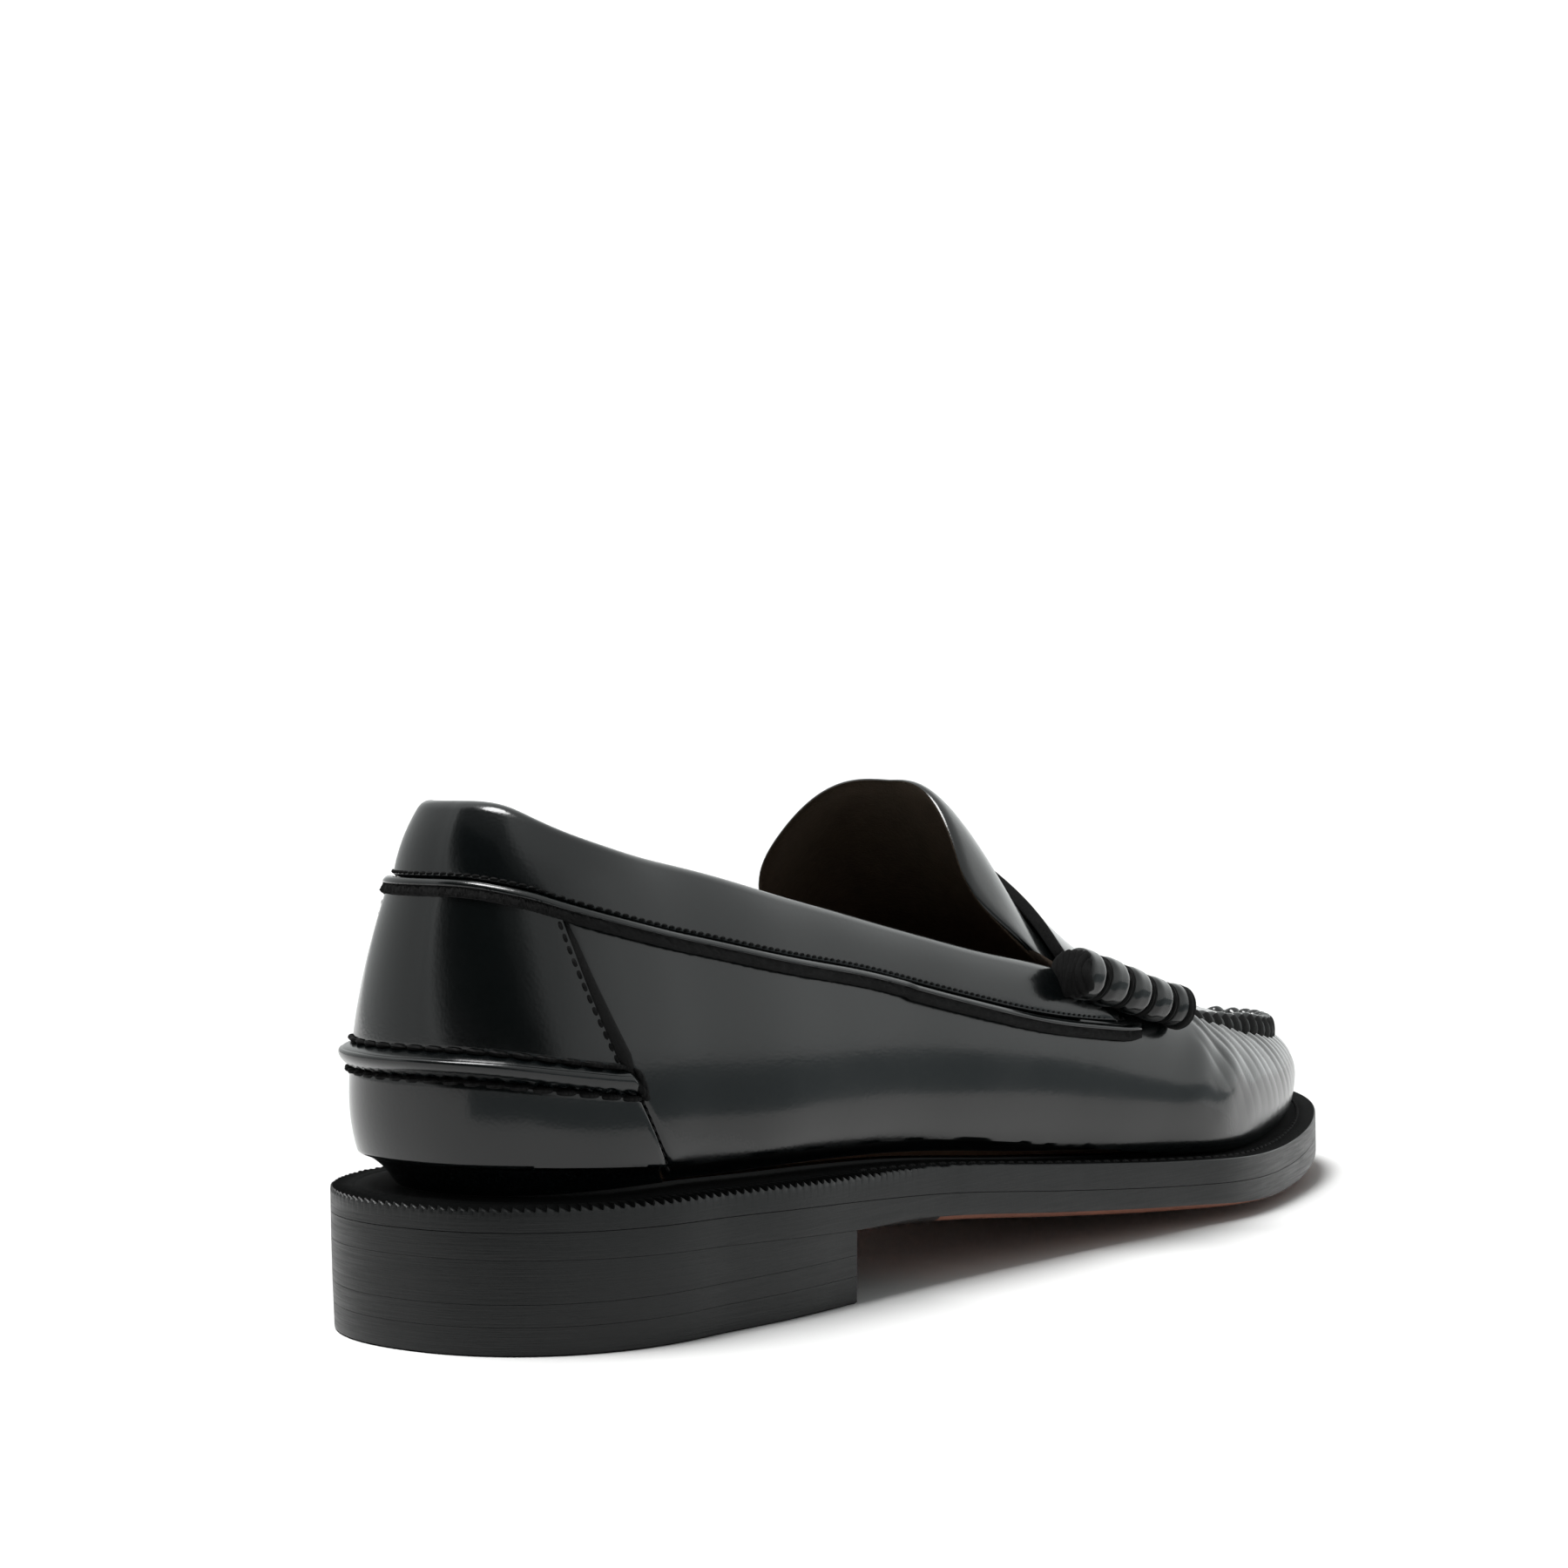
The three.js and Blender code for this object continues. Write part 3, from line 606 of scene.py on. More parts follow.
def end_inset(laps, radius):
    """How much thinner, 0 to 1, each lap's section is because the ends are rounded."""
    distance = np.minimum(np.abs(laps - laps[0]), np.abs(laps - laps[-1])) * MM_PER_LAP
    near = np.clip(distance / radius, 0.02, 1)
    return 1 - np.sqrt(1 - (1 - near) ** 2)


def band(laps, t_low, t_high, outer, inner, rows=24, low_round=None, high_round=None,
         inner_rows=8, relief=None, end_radius=1.0, shift=None):
    """A sheet of leather on the wall, with rounded edges, as a grid of closed sections.

    outer and inner are depths, which may be functions of (laps, fraction of the height).
    Returns the points and, for each column of the section, 0 outer, 1 edge, 2 inner.
    """
    foot = length_at(laps, t_low)
    span = (length_at(laps, t_high) - foot)[:, None]
    as_depth = lambda d, v: d(laps[:, None], v) if callable(d) else np.full(v.shape, float(d))
    halfway = np.full((len(laps), 1), 0.5)
    half = (np.mean(as_depth(inner, halfway)) - np.mean(as_depth(outer, halfway))) / 2
    r_low = half if low_round is None else low_round
    r_high = half if high_round is None else high_round

    def rounded(angles, radius, top, inwards):
        columns = []
        for a in angles:
            short, mix = radius * (1 - np.sin(a)), min(1.0, radius * (1 - np.cos(a)) / (2 * half))
            columns.append((*((1, 0, -short) if top else (0, short, 0)),
                            1 - mix if inwards else mix, 1))
        return columns

    # of each column: the fraction of the flat part, what is added at the low and at the high
    # end, how far it lies to the inner face, and its kind
    arc = np.linspace(0, np.pi / 2, 5)
    back = arc[::-1]
    columns = ([(k / rows, r_low, -r_high, 0.0, 0) for k in range(rows + 1)]
               + rounded(arc[1:], r_high, True, False)
               + rounded(back[:-1] if r_high >= half * 0.99 else back, r_high, True, True)
               + [(1 - k / inner_rows, r_low, -r_high, 1.0, 2) for k in range(inner_rows + 1)]
               + rounded(arc[1:], r_low, False, True) + rounded(back[1:-1], r_low, False, False))
    fraction, low_part, high_part, mix, kinds = (np.array(part)[None, :] for part in zip(*columns))
    above = low_part * (1 - fraction) + (span + high_part) * fraction
    v = np.clip(above / span, 0, 1)
    shrink = end_inset(laps, end_radius)[:, None] * 0.5
    mix = mix * (1 - 2 * shrink) + shrink
    depth = as_depth(outer, v) * (1 - mix) + as_depth(inner, v) * mix
    t = t_at_length(laps, foot[:, None] + above)
    G = np.broadcast_to(laps[:, None], t.shape)
    if relief is not None:
        depth = depth - relief(G, t) * (1 - mix)
    if shift is not None:
        depth = depth + shift(G, t)
    return skin(G, t, depth), kinds[0].tolist()


# ---------------------------------------------------------------- lines on the upper
def piping_t(laps, above=0.0):
    return t_at_height(laps, piping_profile(reach(laps)) + above)


def roll_t(laps, above):
    return t_at_height(laps, heel_roll_profile(reach(laps)) + above)


# The seam round the toe: its length from the start on the outer side, and pleats on it.
_seam_laps = np.linspace(lap_at(SEAM_START), 2 - lap_at(SEAM_START), 900)
_seam_run = run_along(skin(_seam_laps, 1.0))
PLEATS = int(round(_seam_run[-1] / PLEAT))
_pleat_size = rng.uniform(0.6, 1.25, PLEATS + 4)
rng.uniform(0.0, 1.0, PLEATS + 4)  # drawn and left: later draws depend on it


def pleat_phase(g):
    return np.interp(np.mod(g, 2), _seam_laps, _seam_run) / _seam_run[-1] * PLEATS


def pleat_size(phase):
    return _pleat_size[np.clip(np.floor(phase).astype(int) + 1, 0, PLEATS + 3)]


def surface_ripple(g, t, size, wavelength, seed):
    return ripple(look_up(_skin, g, t), size, wavelength, seed)


def above_welt(g, t):
    return length_at(g, t) - length_at(g, np.zeros_like(t))


def tuck(g, t):
    """How far the upper turns in under itself, just above the welt."""
    up = above_welt(g, t) / crevice(lap_of(g)[1])
    return TUCK * np.clip(1 - np.clip(up, 0, 1) ** 2, 0, 1) ** 0.7


def wall_relief(g, t):
    """Puckers below the hand-sewn seam, and the slight unevenness of stretched leather."""
    below = length_at(g, np.ones_like(t)) - length_at(g, t)
    lap = np.mod(g, 2)
    inside = smoothstep(np.minimum(lap, 2 - lap), lap_at(SEAM_START - 3), lap_at(SEAM_START + 5))
    # the folds fan out: further down the wall they lie nearer the toe
    phase = pleat_phase(g) - below * 0.13 * np.clip((1 - lap) / 0.22, -1, 1)
    wave = (np.abs(np.sin(np.pi * phase)) ** 0.8 - 0.62) * pleat_size(phase)
    broad = np.sin(np.pi * phase / 1.7 + 1.3 * np.sin(phase * 0.37)) * 0.5
    puckers = inside * (0.62 * wave * np.exp(-below / 5.5)
                        + 0.17 * wave * np.exp(-(below / 13) ** 2)
                        + 0.22 * broad * np.exp(-(below / 15) ** 2))
    x = lap_of(g)[1]
    creases = 0.22 * np.exp(-((x - 205) / 16) ** 2) * np.exp(-((below - 10) / 11) ** 2)
    folds = creases * np.sin((x * 0.9 + below * 0.55) * 2 * np.pi / 15)
    # the wall stands upright down to its foot under the forefoot
    belly = 0.9 * smoothstep(x, 55, 150) * np.exp(-((above_welt(g, t) - 2.0) / 3.0) ** 2)
    return belly + puckers + folds + surface_ripple(g, t, 0.07, 46, 3)



# ---------------------------------------------------------------- the upper
def add_vamp():
    joint = 0.0016
    start, stop = SEAM + joint, 2 - SEAM - joint
    front = lap_at(SEAM_START - 8)
    laps = np.concatenate([laps_between(start, front, 0.9)[:-5], np.linspace(front, 2 - front, 640),
                           laps_between(2 - front, stop, 0.9)[5:]])
    # under the piping at the sides, up to the seam round the toe
    under = lap_at(COLLAR_FRONT + 10)
    blend = smoothstep(np.minimum(laps, 2 - laps), under - 0.012, under)
    high = (piping_t(laps) - 0.02) * (1 - blend) + 0.999 * blend
    points, kinds = band(laps, FOOT_T, high, 0.0, LEATHER, rows=90, low_round=0.8,
                         relief=wall_relief, end_radius=1.2, shift=tuck)
    lattice_piece("vamp", points, [CALF, RAW_BLACK, SUEDE], kinds)


def add_heel_panels():
    laps = laps_between(-SEAM, SEAM, 0.7)
    relief = lambda g, t: surface_ripple(g, t, 0.06, 40, 5)
    full = lambda g: 1 - smoothstep(np.abs(g), 0, SEAM)
    points, kinds = band(laps, FOOT_T, roll_t(laps, -1.7),
                         lambda g, v: -0.4 - 0.35 * np.sin(np.pi * v) - 0.9 * full(g),
                         LEATHER - 0.3, rows=44, low_round=0.8, relief=relief, end_radius=0.9,
                         shift=tuck)
    lattice_piece("heel_foxing", points, [CALF, RAW_BLACK, LINING], kinds)
    points, kinds = band(laps, roll_t(laps, 2.2), piping_t(laps) - 0.012, -0.55, LEATHER - 0.3,
                         rows=44, relief=relief, end_radius=0.5, high_round=0.5)
    lattice_piece("heel_counter", points, [CALF, RAW_BLACK, LINING], kinds)


def add_lip(name, low, high, proud, tip, scallop):
    """One lip of the raised roll round the back of the heel."""
    laps = laps_between(-SEAM - 0.004, SEAM + 0.004, 0.35)
    turns = turns_of(28)
    foot, head = length_at(laps, roll_t(laps, low)), length_at(laps, roll_t(laps, high))
    fade = (1 - end_inset(laps, 2.4))[:, None]
    s = np.sin(turns)[None, :]
    bite = (scallop * np.abs(np.cos(np.pi * laps * MM_PER_LAP / ROLL_PITCH)) ** 3)[:, None]
    bite = bite * np.clip(-s, 0, 1)
    crest = np.clip(np.cos(turns - tip), 0, 1)[None, :] - np.clip(-np.cos(turns), 0, 1)[None, :]
    length = (head + foot)[:, None] / 2 + (head - foot)[:, None] / 2 * fade * s * (1 - bite)
    out = (proud * (0.72 + 0.28 * np.cos(np.pi * laps / SEAM)))[:, None] * fade
    depth = 0.3 - out * np.sign(crest) * np.abs(crest) ** 0.9 * (1 - 0.2 * bite)
    points = skin(laps[:, None], t_at_length(laps, length), np.minimum(depth, 1.4))
    lattice_piece(name, points, [COLLAR])


def add_collar():
    end = COLLAR_END + 0.041
    laps = laps_between(-end, end, 0.8)
    dip = smoothstep(np.abs(laps), COLLAR_END + 0.012, COLLAR_END + 0.039)
    low = piping_t(laps) + 0.004
    puff = lambda g, v: -0.15 - 0.75 * np.sin(np.pi * np.clip(v, 0, 1)) ** 0.8
    points, _ = band(laps, low, 1 - dip + (low + 0.06) * dip, puff, 4.6, rows=26, low_round=0.6,
                     high_round=2.3, end_radius=2.0,
                     relief=lambda g, t: surface_ripple(g, t, 0.10, 34, 9))
    lattice_piece("collar_band", points, [COLLAR], slot="collar_leather")


def add_piping():
    end = lap_at(PIPING_FRONT)
    laps = laps_between(-end, end, 0.6)
    foot, head = length_at(laps, piping_t(laps, -PIPING_WIDTH)), length_at(laps, piping_t(laps))
    fade = (1 - end_inset(laps, 1.6))[:, None]
    # the strip's two ends overlap in a low step on the outer side
    step = smoothstep(laps, STRIP_END, STRIP_END + 0.003)[:, None]
    # from the stitched upper edge down over the bead to the raw lower edge
    shape = [(1.0, -0.1), (0.98, 0.7), (0.93, 1.1), (0.86, 1.35), (0.78, 1.5), (0.70, 1.58),
             (0.62, 1.6), (0.55, 1.5), (0.52, 1.25), (0.44, 1.3), (0.28, 1.35), (0.12, 1.3),
             (0.03, 1.0), (0.0, 0.3), (0.1, -0.5), (0.5, -0.5), (0.9, -0.5)]
    v, out = (np.array(part)[None, :] for part in zip(*shape))
    raw = np.array([0] * 8 + [1] * 6 + [0] * 3)
    rough = 0.12 * np.array([rng.normal(size=len(laps)) for _ in shape]).T * raw[None, :]
    above = (foot + head)[:, None] / 2 + (v - 0.5) * (head - foot)[:, None] * (0.25 + 0.75 * fade)
    depth = rough - out * (0.35 + 0.65 * fade) * (1 + 0.30 * step)
    points = skin(laps[:, None], t_at_length(laps, above - 0.35 * step), depth)
    lattice_piece("collar_piping", points, [CALF, RAW_BLACK], [0] * 7 + [1] * 10)


def add_linings():
    sides, vamp = lap_at(COLLAR_FRONT - 2), lap_at(COLLAR_FRONT + 4)
    puff, stiff = lap_at(246), SEAM + 0.02
    for name, start, stop, head, outer, inner, rows, material, slot in (
            ("quarter_lining", -sides, sides, 0.93, 3.5, 4.3, 20, LINING, "lining_leather"),
            ("vamp_lining", vamp, 2 - vamp, 0.74, 3.5, 4.3, 16, LINING, "lining_leather"),
            ("toe_puff", puff, 2 - puff, 0.72, 2.4, 3.3, 16, BOARD, "leather_board"),
            ("counter_stiffener", -stiff, stiff, 0.5, 2.4, 3.3, 16, BOARD, "leather_board")):
        points, _ = band(laps_between(start, stop, 2.5), 0.15, head, outer, inner, rows=rows,
                         inner_rows=rows)
        lattice_piece(name, points, [material], slot=slot)


def add_plug():
    """The plug and tongue: one sheet over the instep, its two sides rounded."""
    columns, half_across, r = 110, 30.0, 0.95
    first = np.array([0.0, 0.12, 0.4, 0.8, 1.4]) / 160
    parts = np.concatenate([first, np.linspace(2.2 / 160, 1, 230)])[:, None]
    arc = np.linspace(0, np.pi, 9)[1:-1]
    grow = r / half_across
    across = np.linspace(-1, 1, columns) * (1 - grow)
    side = 1 - grow + grow * np.sin(arc)
    q = np.concatenate([across, side, across[::-1], -side])[None, :]
    lift = np.concatenate([np.zeros(columns), -r + r * np.cos(arc), np.full(columns, -2 * r),
                           -r - r * np.cos(arc)])[None, :]
    shrink = np.ones((len(parts), 1))
    shrink[:5, 0] = [0.06, 0.35, 0.62, 0.85, 0.97]
    inner_q = np.clip(q, -1, 1)
    start = lap_at(tongue_end(inner_q))
    x = lap_of(start + (lap_at(LENGTH - 1.2) - start) * parts)[1]
    wave = ripple(instep_face(x, q), 0.10, 38, 21) * smoothstep(x, 150, 175)
    curl = 0.9 * (1 - smoothstep(x, 143, 160)) * np.abs(q) ** 2
    points = instep_point(x, inner_q, (lift + r) * shrink - r + wave + curl)
    # evened out a little along the foot
    for _ in range(2):
        middle = (points[:-2] + points[2:]) / 2
        points[8:-8] = points[8:-8] * 0.5 + middle[7:-7] * 0.5
    kinds = [0] * columns + [1] * len(arc) + [2] * columns + [1] * len(arc)
    lattice_piece("plug_and_tongue", points, [CALF, RAW_BROWN, SUEDE], kinds)


def add_strap():
    """The saddle strap, a ring of sheet round its slot."""
    turns = turns_of(360)[:, None]
    c, s = np.cos(turns), np.sin(turns)
    # the outer border: a runs from 0 at the rear edge to 1 at the front
    corner = 1 / (np.abs(c) ** 14 + np.abs(s) ** 14) ** (1 / 14)
    a, outer_q = 0.5 + 0.5 * c * corner, s * corner
    outer_x = (162.5 - 6 * outer_q * outer_q) * (1 - a) + (205 - 13 * outer_q * outer_q) * a
    # the slot: a long lens across the strap with a small notch in the middle of each side
    slot_q = SLOT_REACH * s
    notch = np.exp(-(slot_q / 0.055) ** 2)
    slot_x = SLOT_AT + (np.sign(c) * (0.9 + 3.0 * np.abs(c) ** 0.9 * (1 - 0.55 * notch))
                        * np.abs(c) ** 0.3)
    rings = np.concatenate([[0.0, 0.006, 0.018], np.linspace(0.045, 0.955, 30),
                            [0.98, 0.994, 1.0]])[None, :]
    lift, r, n = 0.45, STRAP_THICKNESS / 2, rings.shape[1]
    shrink = np.ones((1, n))
    shrink[0, :3], shrink[0, -3:] = [0.72, 0.92, 0.99], [0.97, 0.85, 0.5]
    x = outer_x * (1 - rings) + slot_x * rings
    q = outer_q * (1 - rings) + slot_q * rings
    top, under = (instep_point(x, q, lift + r + side * r * shrink) for side in (1, -1))
    kinds = [1] * 2 + [0] * (n - 5) + [1] * 5 + [2] * (n - 5) + [1] * 3
    lattice_piece("saddle_strap", np.concatenate([top, under[:, ::-1]], 1),
                  [CALF, RAW_BLACK, SUEDE], kinds, wrap_u=True)


# ---------------------------------------------------------------- seam ridge, rolls, threads
def add_ridge():
    """The gathered ridge of the hand-sewn seam, where wall and plug stand together."""
    laps = np.linspace(_seam_laps[0] - 0.018, _seam_laps[-1] + 0.018, 1540)
    base = skin(laps, 1.0, 1.2)
    base[:, 2] += np.interp(lap_of(laps)[1], [198, 222, 245], [-3.0, -1.1, 0.7])
    tangent = unit(np.gradient(base, axis=0))
    out = look_up(_normal, laps, 1.0)
    out[:, 2] = 0
    out = unit(out - (out * tangent).sum(1, keepdims=True) * tangent)
    up = np.cross(tangent, out)
    up *= np.sign(up[:, 2:3])
    phase = pleat_phase(laps)
    fold = np.abs(np.sin(np.pi * phase)) ** 0.55
    size = pleat_size(phase)
    steps = np.arange(len(laps))
    fade = np.minimum(smoothstep(steps, 0, 50), smoothstep(steps[::-1], 0, 50))
    turns = turns_of(30)
    c, s = np.cos(turns)[None, :], np.sin(turns)[None, :]
    high = ((2.0 + 1.7 * fold * (0.8 + 0.2 * size)) * (0.5 + 0.5 * fade))[:, None]
    wide = ((1.15 + 1.15 * fold * (0.7 + 0.3 * size)) * (0.6 + 0.4 * fade))[:, None]
    lean = (0.35 * np.sin(2 * np.pi * phase + 0.8))[:, None]
    points = off(base[:, None], (out[:, None], wide * np.sign(c) * np.abs(c) ** 0.8),
                 (up[:, None], 0.7 + high * np.sign(s) * np.abs(s) ** 0.8),
                 (tangent[:, None], lean * np.clip(s, 0, 1)))
    raw_outside = ((c > 0.45) & (s < 0.75))[0].astype(int).tolist()
    lattice_piece("seam_ridge", points, [CALF, RAW_BLACK], raw_outside, own_node=False)
    # a heavy stitch in each groove, over the top of the ridge
    strands = []
    turn = np.linspace(-0.7, np.pi + 0.3, 13)
    for k in range(1, PLEATS):
        lap = np.interp(k / PLEATS * _seam_run[-1], _seam_run, _seam_laps)
        i = int(np.argmin(np.abs(laps - lap)))
        strands.append(off(base[i], (out[i], 1.75 * np.cos(turn)),
                           (up[i], 0.7 + 2.6 * np.sin(turn)),
                           (tangent[i], np.linspace(-0.35, 0.35, 13))))
    tubes_piece("plug_seam_thread", strands, 0.40, SEAM_CORD, replaces=("plug_seam_thread",))


def tube_points(path, radius, sides, closed):
    if closed:
        tangent = unit(np.roll(path, -1, 0) - np.roll(path, 1, 0))
    else:
        tangent = unit(np.gradient(path, axis=0))
    turned = np.cross(tangent[0], [0.31, 0.17, 0.93])
    side = []
    for direction in tangent:
        turned = unit(turned - direction * (turned @ direction))
        side.append(turned)
    side = np.array(side)
    turns = turns_of(sides)[None, :]
    width = np.broadcast_to(radius, len(path))[:, None]
    return off(path[:, None], (side[:, None], np.cos(turns) * width),
               (np.cross(tangent, side)[:, None], np.sin(turns) * width))


def tubes_piece(name, paths, radius, material=None, closed=False, sides=8, slot="waxed_thread",
                **rest):
    """Several strands in one piece; open ones are thinner towards both ends."""
    all_points, all_faces, start = [], [], 0
    for path in paths:
        ease = 1 if closed else np.sin(np.linspace(0, np.pi, len(path)))
        width = radius * np.clip(0.35 + 1.6 * ease, 0, 1)
        points = tube_points(path, width, sides, closed)
        all_faces += lattice(points, None, closed, start)[0]
        all_points.append(points.reshape(-1, 3))
        start += len(points) * sides
    make_piece(name, np.concatenate(all_points), all_faces, [material or THREAD], slot=slot, **rest)


SPOTS = np.linspace(-0.5, 0.5, 7)


def stitch_middles(run, pitch):
    count = int(run[-1] / pitch)
    return [(k + 0.5) * run[-1] / count for k in range(count)]


def stitches(name, laps, t, depth, pitch, length, radius, tilt=0.0, sag=0.25):
    """A row of stitches along a line of the upper: each dips into the leather at its ends."""
    run = run_along(skin(laps, t, depth))
    strands = []
    for middle in stitch_middles(run, pitch):
        spots = middle + SPOTS * length * math.cos(tilt)
        lap, here = np.interp(spots, run, laps), np.interp(spots, run, t)
        above = length_at(lap, here) + SPOTS * length * math.sin(tilt)
        dip = sag * (1 - np.cos(SPOTS * np.pi)) * 2
        strands.append(skin(lap, t_at_length(lap, above[:, None])[:, 0], depth + dip))
    tubes_piece(name, strands, radius, sides=6)


def seam_stitches(name, lap, t, depth, pitch, length, radius):
    """A row of stitches up a seam."""
    run = run_along(skin(lap, t, depth))
    dip = 0.5 * (1 - np.cos(SPOTS * np.pi))
    strands = [skin(lap, np.interp(middle + SPOTS * length, run, t), depth + dip)
               for middle in stitch_middles(run, pitch)]
    tubes_piece(name, strands, radius, sides=6)


def add_stitching():
    end = lap_at(PIPING_FRONT - 4)
    laps = np.linspace(-end, end, 900)
    t = t_at_length(laps, (length_at(laps, piping_t(laps)) + 0.95)[:, None])[:, 0]
    stitches("collar_stitches", laps, t, -0.42, 1.75, 1.55, 0.30, 0.12)
    # the counter's side seams, one row on each side, and the seams of the foxing below
    at_seam = np.array([SEAM])
    low, high = roll_t(at_seam, 3.2)[0], piping_t(at_seam, -PIPING_WIDTH)[0]
    foxing_top = roll_t(at_seam, -2.4)[0]
    for name, sign in (("outer", 1), ("inner", -1)):
        seam_stitches(f"counter_stitches_{name}", sign * (SEAM - 0.0056),
                      np.linspace(low, high, 160), -0.60, 2.1, 1.7, 0.36)
        seam_stitches(f"foxing_stitches_{name}", sign * (SEAM + 0.0008),
                      np.linspace(0.07, foxing_top, 160), -0.05, 1.7, 1.3, 0.26)
        # the thick raw margin of the counter beyond its row of stitches
        centre = skin(sign * (SEAM + 0.0018), np.linspace(low - 0.03, high + 0.005, 90), -0.05)
        tubes_piece(f"counter_margin_{name}", [centre], np.linspace(1.6, 0.6, 90), RAW_BLACK,
                    sides=12, slot="black_calf")


def add_roll_stitches():
    """Heavy stitches along both sides of the heel roll."""
    laps = np.linspace(-SEAM - 0.001, SEAM + 0.001, 500)
    stitches("roll_stitches_lower", laps, roll_t(laps, -2.45), -1.35, ROLL_PITCH, 3.7, 0.50, 0.07,
             sag=0.5)
    stitches("roll_stitches_upper", laps, roll_t(laps, 2.95), -1.1, ROLL_PITCH, 3.5, 0.46, -0.06,
             sag=0.35)
    # the knots that end the roll at both side seams
    strands = []
    t0 = float(roll_t(np.array([SEAM]), -1.0)[0])
    turn = np.linspace(0, 2 * np.pi, 14)
    for sign in (1, -1):
        for k in range(4):
            wob = 0.5 * k
            strands.append(skin(
                sign * (SEAM + 0.0035) + sign * (0.0018 * np.cos(turn + wob) + 0.0012 * k / 4),
                t0 + (0.020 + 0.007 * k) * np.sin(turn + wob) + 0.006 * k,
                -0.7 - 0.55 * np.cos(2 * turn + wob)))
    tubes_piece("roll_knots", strands, 0.62)


def add_beefroll(name, sideways):
    stretch = ROLL_FRONT - ROLL_BACK
    xs = np.linspace(ROLL_BACK, ROLL_FRONT, 260)
    laps = lap_at(xs) if sideways < 0 else 2 - lap_at(xs)
    line = skin(laps, t_at_height(laps, top_height(laps) - 3), -ROLL_RADIUS - 0.1)
    for _ in range(60):
        line[1:-1] = (line[:-2] + line[2:]) / 2
    tangent = unit(np.gradient(line, axis=0))
    side = unit(np.cross([0, 0, 1.0], tangent))
    up = np.cross(tangent, side)
    pinch = np.abs(np.cos(np.pi * (xs - ROLL_BACK) / stretch * (WRAPS + 1))) ** 5
    ends = np.minimum(smoothstep(xs, ROLL_BACK - 1.5, ROLL_BACK + 2.2),
                      1 - smoothstep(xs, ROLL_FRONT - 2.2, ROLL_FRONT + 1.5))
    taper = np.interp(xs, [ROLL_BACK, ROLL_FRONT], [1.12, 0.92])
    size = (1.03 - 0.22 * pinch) * ends * taper
    tall, wide = ROLL_TALL * size, ROLL_WIDE * size
    # a fold line where the rolled leather tucks under, and creases running to the wraps
    turns = turns_of(64)[None, :]
    crease = 1 - 0.012 * np.exp(-((turns - 4.2) / 0.16) ** 2)
    crease = crease * (1 + 0.018 * np.sin(turns * 9 + 1.0) * pinch[:, None])
    points = off(line[:, None], (side[:, None], wide[:, None] * np.cos(turns) * crease),
                 (up[:, None], tall[:, None] * np.sin(turns) * crease))
    lattice_piece(f"beefroll_{name}", points, [CALF])
    turn = turns_of(48)
    for i in range(WRAPS):
        where = ROLL_BACK + stretch * (i + 1) / (WRAPS + 1)
        k = int(np.argmin(np.abs(xs - where)))
        strands = [off(line[k], (side[k], (wide[k] + 0.25) * np.cos(turn)),
                       (up[k], (tall[k] + 0.25) * np.sin(turn)),
                       (tangent[k], offset + 0.30 * np.sin(turn + i))) for offset in (-0.42, 0.42)]
        tubes_piece(f"beefroll_wrap_{name}_{i + 1}", strands, 0.50, closed=True,
                    replaces=(f"beefroll_wrap_{name}_{i + 1}",))
    # the bunched folds of leather over the rear end, and the knot in front
    source = np.random.default_rng(3)
    folds, knot = [], []
    turn = np.linspace(-0.52, 0.52, 16) * np.pi
    for n, aside in enumerate(np.linspace(-3.5, 3.5, 8)):
        drop = math.sqrt(1 - (aside / 4.6) ** 2)
        back = (0.7 + source.uniform(-0.2, 0.3)) * np.cos(turn) - 0.8 * np.abs(np.sin(turn))
        tall_here = 4.7 * drop + source.uniform(-0.4, 0.2)
        folds.append(off(line[8], (tangent[8], -back),
                         (side[8], aside + 0.5 * np.sin(2 * turn + n)),
                         (up[8], tall_here * np.sin(turn) - 0.3)))
    turn = np.linspace(0, 2 * np.pi, 36)
    for n in range(7):
        k = int(np.argmin(np.abs(xs - ROLL_FRONT + 3.6 - 0.52 * n)))
        size = (1.0 - 0.5 * (n / 6) ** 3 + source.uniform(-0.04, 0.05)) * taper[k]
        sway = source.uniform(-0.9, 0.9) * np.sin(turn + source.uniform(0, 6))
        knot.append(off(line[k], (tangent[k], sway), (side[k], size * 3.9 * np.cos(turn)),
                        (up[k], size * 4.4 * np.sin(turn) - 0.3)))
    tubes_piece(f"roll_folds_{name}", folds, 1.05, RAW_BLACK, sides=10, slot="black_calf")
    tubes_piece(f"roll_knot_{name}", knot, 0.7, RAW_BLACK)


